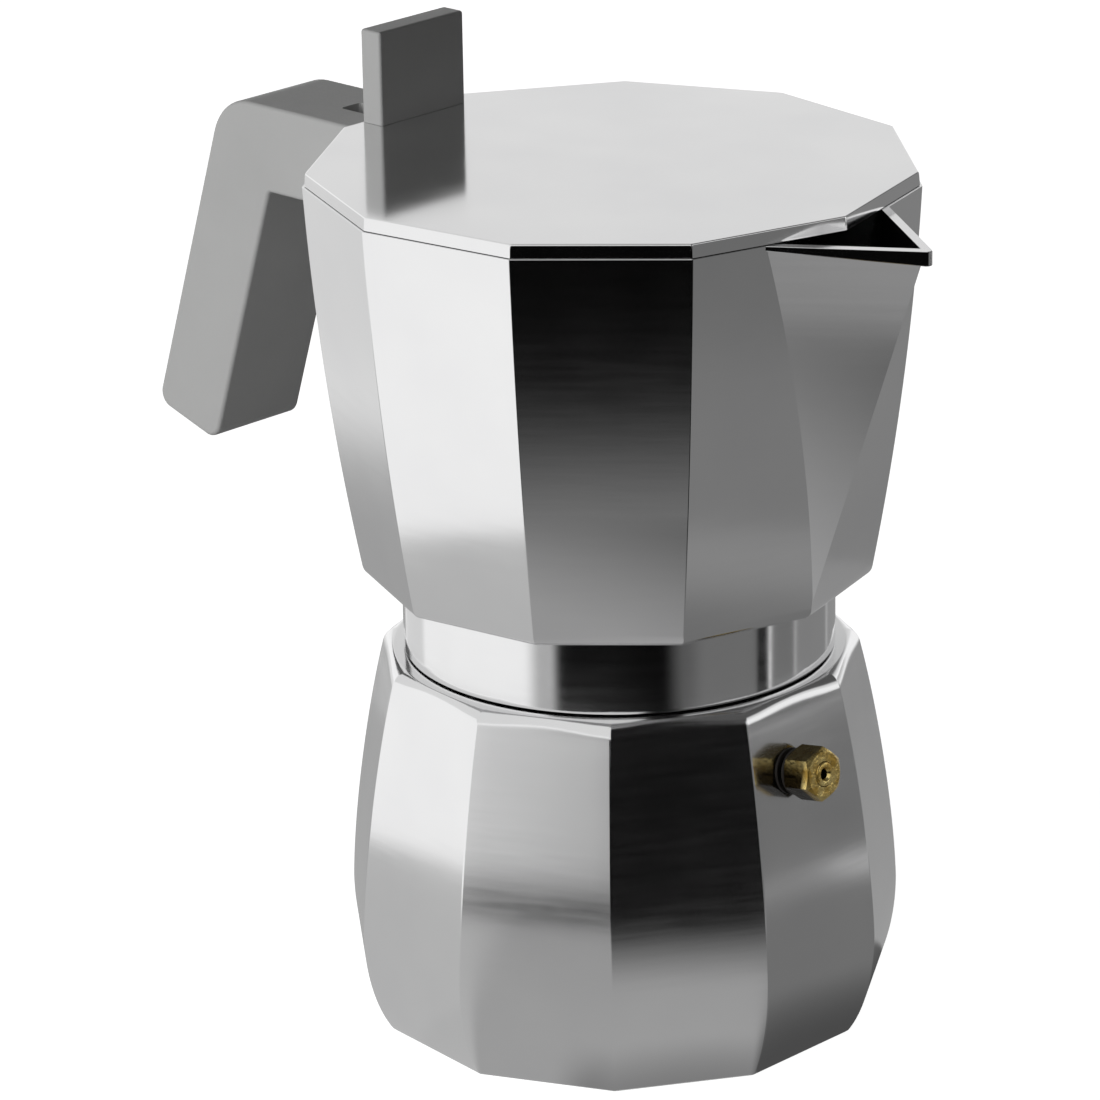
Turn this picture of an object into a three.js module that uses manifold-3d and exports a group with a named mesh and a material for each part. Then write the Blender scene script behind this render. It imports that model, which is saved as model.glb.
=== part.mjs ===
// A stove-top coffee maker (moka pot): boiler, funnel, screw-on upper chamber, hinged lid, handle.
// Millimetres, +Z up. The origin is the centre of the boiler's flat base, the pouring beak points
// to +X and the handle to -X.

import * as THREE from 'three';
import { ConvexGeometry } from 'three/addons/geometries/ConvexGeometry.js';
import { mergeVertices } from 'three/addons/utils/BufferGeometryUtils.js';
import Module from 'manifold-3d';

const wasm = await Module();
wasm.setup();

// ---- Driving dimensions ------------------------------------------------------------------------

const FACETS = 11;                                   // flat sides of the boiler, chamber and lid
const HALF_FACET = Math.PI / FACETS;
const APOTHEM = Math.cos(HALF_FACET);                // centre of a facet / corner radius
const ROUND_SIDES = 40;                              // sides of the large round pieces
const HOLLOW_SIDES = 24;                             // sides of the boiler's round inside
const SMALL_SIDES = 20;                              // sides of pins, screws and small bores
const GAP = 0.3;                                     // clearance between neighbouring pieces

const BASE_RADIUS = 45.1;                            // corner radii of the boiler
const BELLY_RADIUS = 50.6;
const BELLY_HEIGHT = 20;
const SHOULDER_RADIUS = 44;
const SHOULDER_HEIGHT = 66;
const BOILER_TOP = 68.7;
const BOILER_WALL = 2.8;
const BOILER_FLOOR = 3.2;

const NECK_RADIUS = 33.6;                            // round threaded neck of the boiler
const NECK_BORE = 30.6;
const NECK_TOP = 77.6;
const THREAD_RADIUS = 34.7;
const THREAD_PITCH = 3;
const THREAD_RIDGES = 2;

const COLLAR_RADIUS = 39;                            // round collar of the upper chamber
const COLLAR_BORE = 35.2;
const COLLAR_BOTTOM = 69.2;
const CHAMBER_BOTTOM = 83.7;
const CHAMBER_TOP = 156.2;
const CHAMBER_FOOT_RADIUS = 45.8;                    // corner radii of the upper chamber
const CHAMBER_BOW_RADIUS = 52.8;
const CHAMBER_RIM_RADIUS = 54.8;
const CHAMBER_WALL = 2.4;
const CHAMBER_FLOOR_TOP = 87;
const GASKET_SEAT = 82.3;

const BEAK_TIP = 72;                                 // pouring beak, at its top
const BEAK_ROOT_X = 50.3;
const BEAK_ROOT_Y = 15.7;
const BEAK_LIP_TIP = 73.3;
const BEAK_LIP_HEIGHT = 2.7;
const BEAK_INNER_TIP = 69.8;

const LID_BOTTOM = CHAMBER_TOP + GAP;
const LID_TOP = 158.7;
const LID_TOP_RADIUS = 54;
const LID_EDGE_RADIUS = 54.4;

const KNOB_THICKNESS = 4.9;
const KNOB_WIDTH = 21.4;
const KNOB_TOP = 176;
const KNOB_BACK = -LID_TOP_RADIUS * APOTHEM;         // flush with the lid's rear edge

const KNOB_SCREW_RADIUS = 1.3;
const KNOB_SCREW_HEAD = 2.35;
const KNOB_SCREW_END = 168.7;
const KNOB_SCREW_Y = 6.5;

const HINGE_X = -59.5;
const HINGE_Z = 152;
const HINGE_PIN_RADIUS = 1.4;
const KNUCKLE_RADIUS = 2.9;
const TONGUE_WIDTH = 4;
const LUG_WIDTH = 10.6;
const LUG_BOTTOM = 145.5;
const LUG_TOP = 148.8;
const LUG_END = -75;

const ARM_TOP = 157.1;                               // handle
const ARM_THICKNESS = 16.5;
const HANDLE_WIDTH = 21;
const HANDLE_CORNER_X = -89.6;                       // where the arm's top would meet the leg's back
const HANDLE_CORNER_ROUND = 8.5;
const LEG_SLANT = THREE.MathUtils.degToRad(17.8);
const LEG_LENGTH = 66.6;
const LEG_END_ROUND = 2.2;
const HANDLE_EDGE_ROUND = 1;
const SLOT_END = -66;
const HANDLE_SCREW_X = -71.5;
const HANDLE_SCREW_RADIUS = 1.9;
const HANDLE_SCREW_HEAD = 3.5;

const FUNNEL_RADIUS = 30.2;
const FUNNEL_RIM_RADIUS = 33.4;
const FUNNEL_SHEET = 0.9;
const FUNNEL_CUP_BOTTOM = 52;
const FUNNEL_TUBE_RADIUS = 4.6;
const FUNNEL_TUBE_BORE = 3.7;
const FUNNEL_TUBE_BOTTOM = 9;

const GASKET_RADIUS = 34.8;
const GASKET_BORE = 28.9;
const GASKET_BOTTOM = NECK_TOP + GAP + FUNNEL_SHEET + GAP;
const FILTER_THICKNESS = 1;
const FILTER_HOLE_RADIUS = 1;

const COLUMN_BASE_RADIUS = 10;
const COLUMN_TOP_RADIUS = 6.4;
const COLUMN_TOP = 134;
const COLUMN_BORE = 3.8;
const COLUMN_SPIGOT_RADIUS = 6;
const OUTLET_WIDTH = 3.2;

const VALVE_PLACE = [44.5, -2.4, 55.7];              // where the valve's axis meets the facet
const VALVE_TILT = THREE.MathUtils.degToRad(10);     // the facet leans back by this much
const VALVE_HEX_RADIUS = 4.9;                        // 8.5 mm across the flats
const VALVE_HEX_BOTTOM = 1.2;
const VALVE_HEX_TOP = 6.9;
const VALVE_SHANK_RADIUS = 3.3;
const VALVE_INNER_END = -8;
const VALVE_BORE = 2.3;
const VALVE_SEAT_BORE = 1.2;
const VALVE_CAP_BOTTOM = 4.2;
const VALVE_CAP_HOLE = 0.9;
const VALVE_WASHER_RADIUS = 4.2;
const VALVE_WASHER_THICKNESS = 0.6;
const POPPET_HEAD_RADIUS = 1.9;
const POPPET_HEAD_TOP = VALVE_INNER_END + 3;
const SPRING_RADIUS = 1.55;
const SPRING_WIRE_RADIUS = 0.25;
const SPRING_TURNS = 5;

// ---- Materials ---------------------------------------------------------------------------------

const satinAluminium = (roughness) =>
  new THREE.MeshStandardMaterial({ color: 0xc9cacb, roughness, metalness: 1 });
const steel = () => new THREE.MeshStandardMaterial({ color: 0xa9abad, roughness: 0.3, metalness: 1 });
const brass = () => new THREE.MeshStandardMaterial({ color: 0xb08a3a, roughness: 0.35, metalness: 1 });
const greyPlastic = () =>
  new THREE.MeshStandardMaterial({ color: 0xa3a19c, roughness: 0.5, metalness: 0 });
const rubber = () => new THREE.MeshStandardMaterial({ color: 0xe6e4de, roughness: 0.8, metalness: 0 });
const fibre = () => new THREE.MeshStandardMaterial({ color: 0x8c3b2c, roughness: 0.8, metalness: 0 });

// ---- Geometry helpers --------------------------------------------------------------------------

// A closed three.js geometry as a solid that can be joined and cut.
function solid(geometry) {
  const bare = geometry.clone();
  bare.deleteAttribute('normal');
  bare.deleteAttribute('uv');
  const merged = mergeVertices(bare, 1e-4);
  const index = merged.index.array;
  const triangles = [];
  for (let i = 0; i < index.length; i += 3) {
    const [a, b, c] = [index[i], index[i + 1], index[i + 2]];
    if (a !== b && b !== c && c !== a) triangles.push(a, b, c);
  }
  const mesh = new wasm.Mesh({
    numProp: 3,
    vertProperties: Float32Array.from(merged.attributes.position.array),
    triVerts: Uint32Array.from(triangles),
  });
  return new wasm.Manifold(mesh);
}

// The solid's surface as a three.js geometry.
function surface(body) {
  const mesh = body.getMesh();
  const geometry = new THREE.BufferGeometry();
  geometry.setAttribute('position', new THREE.BufferAttribute(mesh.vertProperties, 3));
  geometry.setIndex(new THREE.BufferAttribute(mesh.triVerts, 1));
  geometry.computeVertexNormals();
  return geometry;
}

const joined = (...bodies) => bodies.reduce((sum, body) => sum.add(body));
const cut = (body, ...tools) => tools.reduce((rest, tool) => rest.subtract(tool), body);

// A profile of [radius, height] points, turned about Z. With few sides it becomes a faceted loft
// whose corners lie on the profile; the first corner is at angle `start` from +X.
function turned(points, sides = ROUND_SIDES, start = 0) {
  const profile = points.map(([radius, height]) => new THREE.Vector2(radius, height));
  const geometry = new THREE.LatheGeometry(profile, sides, Math.PI / 2 + start);
  geometry.rotateX(Math.PI / 2);
  return solid(geometry);
}

const disc = (radius, bottom, top, sides = ROUND_SIDES) =>
  turned([[0, bottom], [radius, bottom], [radius, top], [0, top]], sides);

const ring = (inner, outer, bottom, top, sides = ROUND_SIDES) =>
  turned([[inner, bottom], [outer, bottom], [outer, top], [inner, top], [inner, bottom]], sides);

function block(x0, x1, y0, y1, z0, z1) {
  const geometry = new THREE.BoxGeometry(x1 - x0, y1 - y0, z1 - z0);
  geometry.translate((x0 + x1) / 2, (y0 + y1) / 2, (z0 + z1) / 2);
  return solid(geometry);
}

// A side outline (x, z) given a width along Y, with rounded or sharp side edges.
function sideBar(shape, width, round = 0, curveSegments = 8) {
  const geometry = new THREE.ExtrudeGeometry(shape, {
    depth: width - 2 * round,
    curveSegments,
    bevelEnabled: round > 0,
    bevelThickness: round,
    bevelSize: round,
    bevelOffset: -round,
    bevelSegments: 2,
  });
  geometry.rotateX(Math.PI / 2);
  geometry.translate(0, width / 2 - round, 0);
  return solid(geometry);
}

// A round bar along Y.
function crossBar(radius, x, z, width) {
  const geometry = new THREE.CylinderGeometry(radius, radius, width, SMALL_SIDES);
  geometry.translate(x, 0, z);
  return solid(geometry);
}

const pathPoints = (path, divisions) => path.getPoints(divisions).map((point) => [point.x, point.y]);

// Centres of holes in rings of 6, 12, 18 ... round one hole in the middle.
function holePattern(rings, spacing) {
  const centres = [[0, 0]];
  for (let level = 1; level <= rings; level += 1) {
    for (let i = 0; i < 6 * level; i += 1) {
      const angle = (2 * Math.PI * i) / (6 * level);
      centres.push([level * spacing * Math.cos(angle), level * spacing * Math.sin(angle)]);
    }
  }
  return centres;
}

function perforated(plate, centres, bottom, top) {
  const drill = disc(FILTER_HOLE_RADIUS, bottom - 1, top + 1, 6);
  return cut(plate, ...centres.map(([x, y]) => drill.translate([x, y, 0])));
}

function piece(name, body, material) {
  const mesh = new THREE.Mesh(surface(body), material);
  mesh.name = name;
  return mesh;
}

// ---- Boiler ------------------------------------------------------------------------------------

// Outside corner profile from the base edge to the top edge: a belly and a rounded shoulder.
function boilerOutline() {
  const path = new THREE.Path();
  path.moveTo(BASE_RADIUS, 0);
  path.bezierCurveTo(BASE_RADIUS + 2.5, 3, BELLY_RADIUS, BELLY_HEIGHT / 2, BELLY_RADIUS, BELLY_HEIGHT);
  path.bezierCurveTo(BELLY_RADIUS - 0.4, 34, SHOULDER_RADIUS + 3, 54, SHOULDER_RADIUS, SHOULDER_HEIGHT);
  path.quadraticCurveTo(SHOULDER_RADIUS - 0.7, BOILER_TOP, SHOULDER_RADIUS - 2.6, BOILER_TOP);
  return path;
}

// Inside radius: round, the wall's thickness inside the middle of the facets.
function boilerHollow() {
  const path = new THREE.Path();
  const belly = BELLY_RADIUS * APOTHEM - BOILER_WALL;
  const top = SHOULDER_RADIUS * APOTHEM - BOILER_WALL;
  path.moveTo(0, BOILER_FLOOR);
  path.lineTo(BASE_RADIUS * APOTHEM - 7, BOILER_FLOOR);
  path.quadraticCurveTo(belly - 0.6, BOILER_FLOOR + 1, belly, BELLY_HEIGHT);
  path.bezierCurveTo(belly - 0.4, 34, top + 2.7, 52, top, SHOULDER_HEIGHT - 4);
  path.quadraticCurveTo(top - 1, SHOULDER_HEIGHT, NECK_BORE, SHOULDER_HEIGHT);
  path.lineTo(NECK_BORE, NECK_TOP + 1);
  path.lineTo(0, NECK_TOP + 1);
  return path;
}

function threadRidges() {
  const ridges = [];
  for (let i = 0; i < THREAD_RIDGES; i += 1) {
    const middle = BOILER_TOP + 3.2 + i * THREAD_PITCH;
    ridges.push(turned([
      [NECK_RADIUS - 0.5, middle - 1],
      [THREAD_RADIUS, middle - 0.3],
      [THREAD_RADIUS, middle + 0.3],
      [NECK_RADIUS - 0.5, middle + 1],
      [NECK_RADIUS - 0.5, middle - 1],
    ]));
  }
  return ridges;
}

function boilerBody() {
  const profile = [[0, 0], ...pathPoints(boilerOutline(), 6), [0, BOILER_TOP]];
  const outside = turned(profile, FACETS, HALF_FACET);
  const neck = disc(NECK_RADIUS, BOILER_TOP - 2, NECK_TOP);
  const hollow = turned(pathPoints(boilerHollow(), 4), HOLLOW_SIDES);
  const valveHole = onValveAxis(disc(VALVE_SHANK_RADIUS + 0.15, -12, 12, SMALL_SIDES));
  return cut(joined(outside, neck, ...threadRidges()), hollow, valveHole);
}

// ---- Safety valve ------------------------------------------------------------------------------

// Moves a body built along +Z, with zero on the boiler's facet, onto the valve's axis.
function onValveAxis(body) {
  const tilt = 90 - THREE.MathUtils.radToDeg(VALVE_TILT);
  return body.rotate([0, tilt, 0]).translate(VALVE_PLACE);
}

function valveBody() {
  const hexagon = disc(VALVE_HEX_RADIUS, VALVE_HEX_BOTTOM, VALVE_HEX_TOP, 6);
  const chamfered = turned([
    [0, VALVE_HEX_BOTTOM],
    [VALVE_HEX_RADIUS + 0.1, VALVE_HEX_BOTTOM],
    [VALVE_HEX_RADIUS + 0.1, VALVE_HEX_TOP - 0.6],
    [VALVE_HEX_RADIUS - 0.9, VALVE_HEX_TOP],
    [0, VALVE_HEX_TOP],
  ]);
  const shank = disc(VALVE_SHANK_RADIUS, VALVE_INNER_END, VALVE_HEX_BOTTOM + 1, SMALL_SIDES);
  const bore = disc(VALVE_BORE, VALVE_INNER_END + 1.5, VALVE_HEX_TOP + 1, SMALL_SIDES);
  const seat = disc(VALVE_SEAT_BORE, VALVE_INNER_END - 1, VALVE_INNER_END + 2, SMALL_SIDES);
  return onValveAxis(cut(joined(hexagon.intersect(chamfered), shank), bore, seat));
}

function valveWasher() {
  const top = GAP + VALVE_WASHER_THICKNESS;
  return onValveAxis(ring(VALVE_SHANK_RADIUS + 0.15, VALVE_WASHER_RADIUS, GAP, top, SMALL_SIDES));
}

function valvePoppet() {
  const head = disc(POPPET_HEAD_RADIUS, VALVE_INNER_END + 1.6, POPPET_HEAD_TOP, SMALL_SIDES);
  const stem = disc(POPPET_HEAD_RADIUS / 2, POPPET_HEAD_TOP - 1, -1, SMALL_SIDES);
  return onValveAxis(joined(head, stem));
}

class Helix extends THREE.Curve {
  constructor(radius, bottom, top, turns) {
    super();
    Object.assign(this, { radius, bottom, top, turns });
  }

  getPoint(t) {
    const angle = 2 * Math.PI * this.turns * t;
    const height = this.bottom + (this.top - this.bottom) * t;
    return new THREE.Vector3(this.radius * Math.cos(angle), this.radius * Math.sin(angle), height);
  }
}

function valveSpring() {
  const wire = new THREE.Shape().absarc(0, 0, SPRING_WIRE_RADIUS, 0, 2 * Math.PI);
  const bottom = POPPET_HEAD_TOP + 0.5;
  const top = VALVE_CAP_BOTTOM - 0.5;
  const path = new Helix(SPRING_RADIUS, bottom, top, SPRING_TURNS);
  const geometry = new THREE.ExtrudeGeometry(wire, { steps: 48, curveSegments: 2, extrudePath: path });
  return onValveAxis(solid(geometry));
}

function valveCap() {
  const radius = VALVE_BORE - 0.1;
  const top = VALVE_HEX_TOP + GAP;
  return onValveAxis(turned([
    [VALVE_CAP_HOLE, VALVE_CAP_BOTTOM],
    [radius, VALVE_CAP_BOTTOM],
    [radius, top - 0.3],
    [radius - 0.4, top],
    [VALVE_CAP_HOLE + 0.3, top],
    [VALVE_CAP_HOLE, top - 0.4],
    [VALVE_CAP_HOLE, VALVE_CAP_BOTTOM],
  ], SMALL_SIDES));
}

// ---- Funnel ------------------------------------------------------------------------------------

function funnelCup() {
  const rim = NECK_TOP + GAP;
  const inside = FUNNEL_RADIUS - FUNNEL_SHEET;
  return turned([
    [FUNNEL_TUBE_RADIUS + 0.1, FUNNEL_CUP_BOTTOM - 6],
    [FUNNEL_RADIUS - 2, FUNNEL_CUP_BOTTOM],
    [FUNNEL_RADIUS, FUNNEL_CUP_BOTTOM + 3],
    [FUNNEL_RADIUS, rim],
    [FUNNEL_RIM_RADIUS, rim],
    [FUNNEL_RIM_RADIUS, rim + FUNNEL_SHEET],
    [inside, rim + FUNNEL_SHEET],
    [inside, FUNNEL_CUP_BOTTOM + 3.3],
    [inside - 1.8, FUNNEL_CUP_BOTTOM + FUNNEL_SHEET],
    [FUNNEL_TUBE_RADIUS + 0.1, FUNNEL_CUP_BOTTOM - 6 + FUNNEL_SHEET],
    [FUNNEL_TUBE_RADIUS + 0.1, FUNNEL_CUP_BOTTOM - 6],
  ]);
}

function funnelTube() {
  const top = FUNNEL_CUP_BOTTOM - 4.5;
  return ring(FUNNEL_TUBE_BORE, FUNNEL_TUBE_RADIUS, FUNNEL_TUBE_BOTTOM, top, SMALL_SIDES);
}

function funnelFilter() {
  const bottom = FUNNEL_CUP_BOTTOM + 3.6;
  const top = bottom + FILTER_THICKNESS;
  const plate = disc(FUNNEL_RADIUS - FUNNEL_SHEET - GAP, bottom, top);
  return perforated(plate, holePattern(3, 7.6), bottom, top);
}

// ---- Gasket and filter plate -------------------------------------------------------------------

function gasketRing() {
  return ring(GASKET_BORE + GAP, GASKET_RADIUS, GASKET_BOTTOM, GASKET_SEAT - GAP);
}

function filterPlate() {
  const bottom = GASKET_BOTTOM + 0.8;
  const top = bottom + FILTER_THICKNESS;
  return perforated(disc(GASKET_BORE, bottom, top), holePattern(3, 7.4), bottom, top);
}

// ---- Upper chamber -----------------------------------------------------------------------------

// Corner profile of the chamber, `inset` mm inside the outer one.
function chamberOutline(inset) {
  const path = new THREE.Path();
  const middle = (CHAMBER_BOTTOM + CHAMBER_TOP) / 2;
  path.moveTo(CHAMBER_FOOT_RADIUS - inset, CHAMBER_BOTTOM);
  path.quadraticCurveTo(CHAMBER_BOW_RADIUS - inset, middle, CHAMBER_RIM_RADIUS - inset, CHAMBER_TOP);
  return path;
}

const chamberRadius = (height) => {
  const t = (height - CHAMBER_BOTTOM) / (CHAMBER_TOP - CHAMBER_BOTTOM);
  return chamberOutline(0).getPoint(Math.min(Math.max(t, 0), 1)).x;
};

function chamberHollow() {
  const inside = pathPoints(chamberOutline(CHAMBER_WALL), 8);
  const wall = inside.filter(([, height]) => height > CHAMBER_FLOOR_TOP + 3);
  const [topRadius] = inside[inside.length - 1];
  return turned([
    [0, CHAMBER_FLOOR_TOP],
    [wall[0][0] - 6, CHAMBER_FLOOR_TOP],
    [wall[0][0] - 2.4, CHAMBER_FLOOR_TOP + 1.6],
    ...wall,
    [topRadius, CHAMBER_TOP + 1],
    [0, CHAMBER_TOP + 1],
  ], FACETS);
}

// Beak solids are convex: the ridge runs from the foot of the front corner to the tip.
function beakWedge(footX, footZ, tipX, rootX, rootY, top) {
  const inward = 12;
  return solid(new ConvexGeometry([
    new THREE.Vector3(footX, 0, footZ),
    new THREE.Vector3(footX - inward, 0, footZ),
    new THREE.Vector3(tipX, 0, top),
    new THREE.Vector3(rootX, rootY, top),
    new THREE.Vector3(rootX, -rootY, top),
    new THREE.Vector3(rootX - inward, rootY * 0.8, top),
    new THREE.Vector3(rootX - inward, -rootY * 0.8, top),
  ]));
}

// The upright band round the top of the beak: it stands out most at the slightly blunt tip.
function beakLip() {
  const outline = [
    [BEAK_ROOT_X - 12, -BEAK_ROOT_Y * 0.8],
    [BEAK_ROOT_X - 0.1, -BEAK_ROOT_Y - 0.2],
    [BEAK_LIP_TIP - 0.6, -0.6],
    [BEAK_LIP_TIP, 0],
    [BEAK_LIP_TIP - 0.6, 0.6],
    [BEAK_ROOT_X - 0.1, BEAK_ROOT_Y + 0.2],
    [BEAK_ROOT_X - 12, BEAK_ROOT_Y * 0.8],
  ];
  const corners = [];
  for (const [x, y] of outline) {
    corners.push(new THREE.Vector3(x, y, CHAMBER_TOP - BEAK_LIP_HEIGHT));
    corners.push(new THREE.Vector3(x, y, CHAMBER_TOP));
  }
  return solid(new ConvexGeometry(corners));
}

// Lug for the handle with two ears for the hinge pin, cast on the rear facet.
function rearLug() {
  const root = -(chamberRadius(LUG_BOTTOM) - CHAMBER_WALL + 0.6) * APOTHEM;
  const bar = block(LUG_END, root, -LUG_WIDTH / 2, LUG_WIDTH / 2, LUG_BOTTOM, LUG_TOP);
  const ears = new THREE.Shape();
  ears.moveTo(root, LUG_BOTTOM + 1);
  ears.lineTo(root, HINGE_Z + KNUCKLE_RADIUS);
  ears.lineTo(HINGE_X, HINGE_Z + KNUCKLE_RADIUS);
  ears.absarc(HINGE_X, HINGE_Z, KNUCKLE_RADIUS, Math.PI / 2, Math.PI, false);
  ears.lineTo(HINGE_X - KNUCKLE_RADIUS, LUG_BOTTOM + 1);
  const earPair = sideBar(ears, LUG_WIDTH);
  const gapHalf = TONGUE_WIDTH / 2 + GAP;
  const wallFace = -(CHAMBER_RIM_RADIUS + 0.05) * APOTHEM;
  const tongueGap = block(LUG_END, wallFace, -gapHalf, gapHalf, LUG_TOP, CHAMBER_TOP);
  return joined(cut(earPair, tongueGap), bar);
}

function upperChamber() {
  const loft = turned([
    [0, CHAMBER_BOTTOM],
    ...pathPoints(chamberOutline(0), 8),
    [0, CHAMBER_TOP],
  ], FACETS);
  const collar = disc(COLLAR_RADIUS, COLLAR_BOTTOM, CHAMBER_BOTTOM + 1);
  const beak = beakWedge(
    CHAMBER_FOOT_RADIUS, CHAMBER_BOTTOM + 0.8, BEAK_TIP, BEAK_ROOT_X, BEAK_ROOT_Y, CHAMBER_TOP,
  );
  const shell = joined(loft, collar, beak, beakLip(), rearLug());
  const pouring = beakWedge(
    CHAMBER_FOOT_RADIUS - 4, CHAMBER_FLOOR_TOP + 2,
    BEAK_INNER_TIP + 0.3, BEAK_ROOT_X - 3.4, BEAK_ROOT_Y, CHAMBER_TOP + 1,
  );
  const collarBore = disc(COLLAR_BORE, COLLAR_BOTTOM - 1, GASKET_SEAT);
  const floorRecess = turned([
    [0, GASKET_SEAT - 1],
    [GASKET_BORE - 2, GASKET_SEAT - 1],
    [GASKET_BORE - 2, GASKET_SEAT],
    [COLUMN_SPIGOT_RADIUS + 2, GASKET_SEAT + 2],
    [0, GASKET_SEAT + 2],
  ]);
  const holeTop = CHAMBER_FLOOR_TOP + 1;
  const columnHole = disc(COLUMN_SPIGOT_RADIUS + GAP, GASKET_SEAT - 1, holeTop, SMALL_SIDES);
  const pinHole = crossBar(HINGE_PIN_RADIUS + 0.05, HINGE_X, HINGE_Z, LUG_WIDTH + 2);
  const screwHole = disc(HANDLE_SCREW_RADIUS + 0.15, LUG_BOTTOM - 1, LUG_TOP + 1, SMALL_SIDES)
    .translate([HANDLE_SCREW_X, 0, 0]);
  return cut(shell, chamberHollow(), pouring, collarBore, floorRecess, columnHole, pinHole, screwHole);
}

function coffeeColumn() {
  const foot = CHAMBER_FLOOR_TOP + GAP;
  const outside = turned([
    [0, GASKET_SEAT + 1],
    [COLUMN_SPIGOT_RADIUS, GASKET_SEAT + 1],
    [COLUMN_SPIGOT_RADIUS, foot],
    [COLUMN_BASE_RADIUS, foot],
    [COLUMN_BASE_RADIUS, foot + 2],
    [COLUMN_BASE_RADIUS - 1.4, foot + 4],
    [COLUMN_TOP_RADIUS, COLUMN_TOP - 4],
    [COLUMN_TOP_RADIUS - 1.6, COLUMN_TOP - 1],
    [0, COLUMN_TOP],
  ], 32);
  const bore = disc(COLUMN_BORE, GASKET_SEAT, COLUMN_TOP - 5, SMALL_SIDES);
  const outlets = block(
    -COLUMN_BASE_RADIUS, COLUMN_BASE_RADIUS,
    -OUTLET_WIDTH / 2, OUTLET_WIDTH / 2,
    COLUMN_TOP - 13, COLUMN_TOP - 7,
  );
  return cut(outside, bore, outlets);
}

// ---- Lid, hinge and knob -----------------------------------------------------------------------

const knobScrewPlaces = { left: -KNOB_SCREW_Y, right: KNOB_SCREW_Y };
const knobMiddle = KNOB_BACK + KNOB_THICKNESS / 2;

function hingeTongue() {
  const tongue = new THREE.Shape();
  tongue.moveTo(KNOB_BACK + 3, LID_BOTTOM + 0.1);
  tongue.lineTo(KNOB_BACK + 3, LID_TOP - 0.3);
  tongue.lineTo(KNOB_BACK - 0.8, LID_TOP - 0.5);
  tongue.lineTo(HINGE_X, HINGE_Z + KNUCKLE_RADIUS);
  tongue.absarc(HINGE_X, HINGE_Z, KNUCKLE_RADIUS, Math.PI / 2, (7 / 4) * Math.PI, false);
  tongue.lineTo(-(chamberRadius(CHAMBER_TOP) + 1) * APOTHEM, LID_BOTTOM + 0.1);
  return sideBar(tongue, TONGUE_WIDTH);
}

function lidPlate() {
  const plate = turned([
    [0, LID_BOTTOM],
    [LID_EDGE_RADIUS - 0.3, LID_BOTTOM],
    [LID_EDGE_RADIUS, LID_BOTTOM + 0.3],
    [LID_TOP_RADIUS + 0.3, LID_TOP - 0.3],
    [LID_TOP_RADIUS, LID_TOP],
    [0, LID_TOP],
  ], FACETS);
  const pinHole = crossBar(HINGE_PIN_RADIUS + 0.05, HINGE_X, HINGE_Z, TONGUE_WIDTH + 2);
  const screwSeats = Object.values(knobScrewPlaces).map((y) => turned([
    [0, LID_BOTTOM - 0.5],
    [KNOB_SCREW_HEAD + 0.25, LID_BOTTOM - 0.5],
    [KNOB_SCREW_HEAD + 0.25, LID_BOTTOM + 0.2],
    [KNOB_SCREW_RADIUS + 0.2, LID_BOTTOM + 1.5],
    [KNOB_SCREW_RADIUS + 0.2, LID_TOP + 1],
    [0, LID_TOP + 1],
  ], SMALL_SIDES).translate([knobMiddle, y, 0]));
  return cut(joined(plate, hingeTongue()), pinHole, ...screwSeats);
}

function knobScrew(y) {
  return turned([
    [0, LID_BOTTOM + 0.1],
    [KNOB_SCREW_HEAD, LID_BOTTOM + 0.1],
    [KNOB_SCREW_HEAD, LID_BOTTOM + 0.3],
    [KNOB_SCREW_RADIUS, LID_BOTTOM + 1.4],
    [KNOB_SCREW_RADIUS, KNOB_SCREW_END - 1],
    [0, KNOB_SCREW_END],
  ], SMALL_SIDES).translate([knobMiddle, y, 0]);
}

function knobBlock() {
  const bottom = LID_TOP + 0.1;
  const outline = new THREE.Shape();
  outline.moveTo(KNOB_BACK, bottom);
  outline.lineTo(KNOB_BACK + KNOB_THICKNESS, bottom);
  outline.lineTo(KNOB_BACK + KNOB_THICKNESS, KNOB_TOP);
  outline.lineTo(KNOB_BACK, KNOB_TOP);
  const pilots = Object.values(knobScrewPlaces).map((y) =>
    disc(KNOB_SCREW_RADIUS + 0.15, bottom - 1, KNOB_SCREW_END + 0.5, SMALL_SIDES)
      .translate([knobMiddle, y, 0]));
  return cut(sideBar(outline, KNOB_WIDTH, 0.5), ...pilots);
}

const hingePin = () => crossBar(HINGE_PIN_RADIUS, HINGE_X, HINGE_Z, LUG_WIDTH);

// ---- Handle ------------------------------------------------------------------------------------

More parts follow.
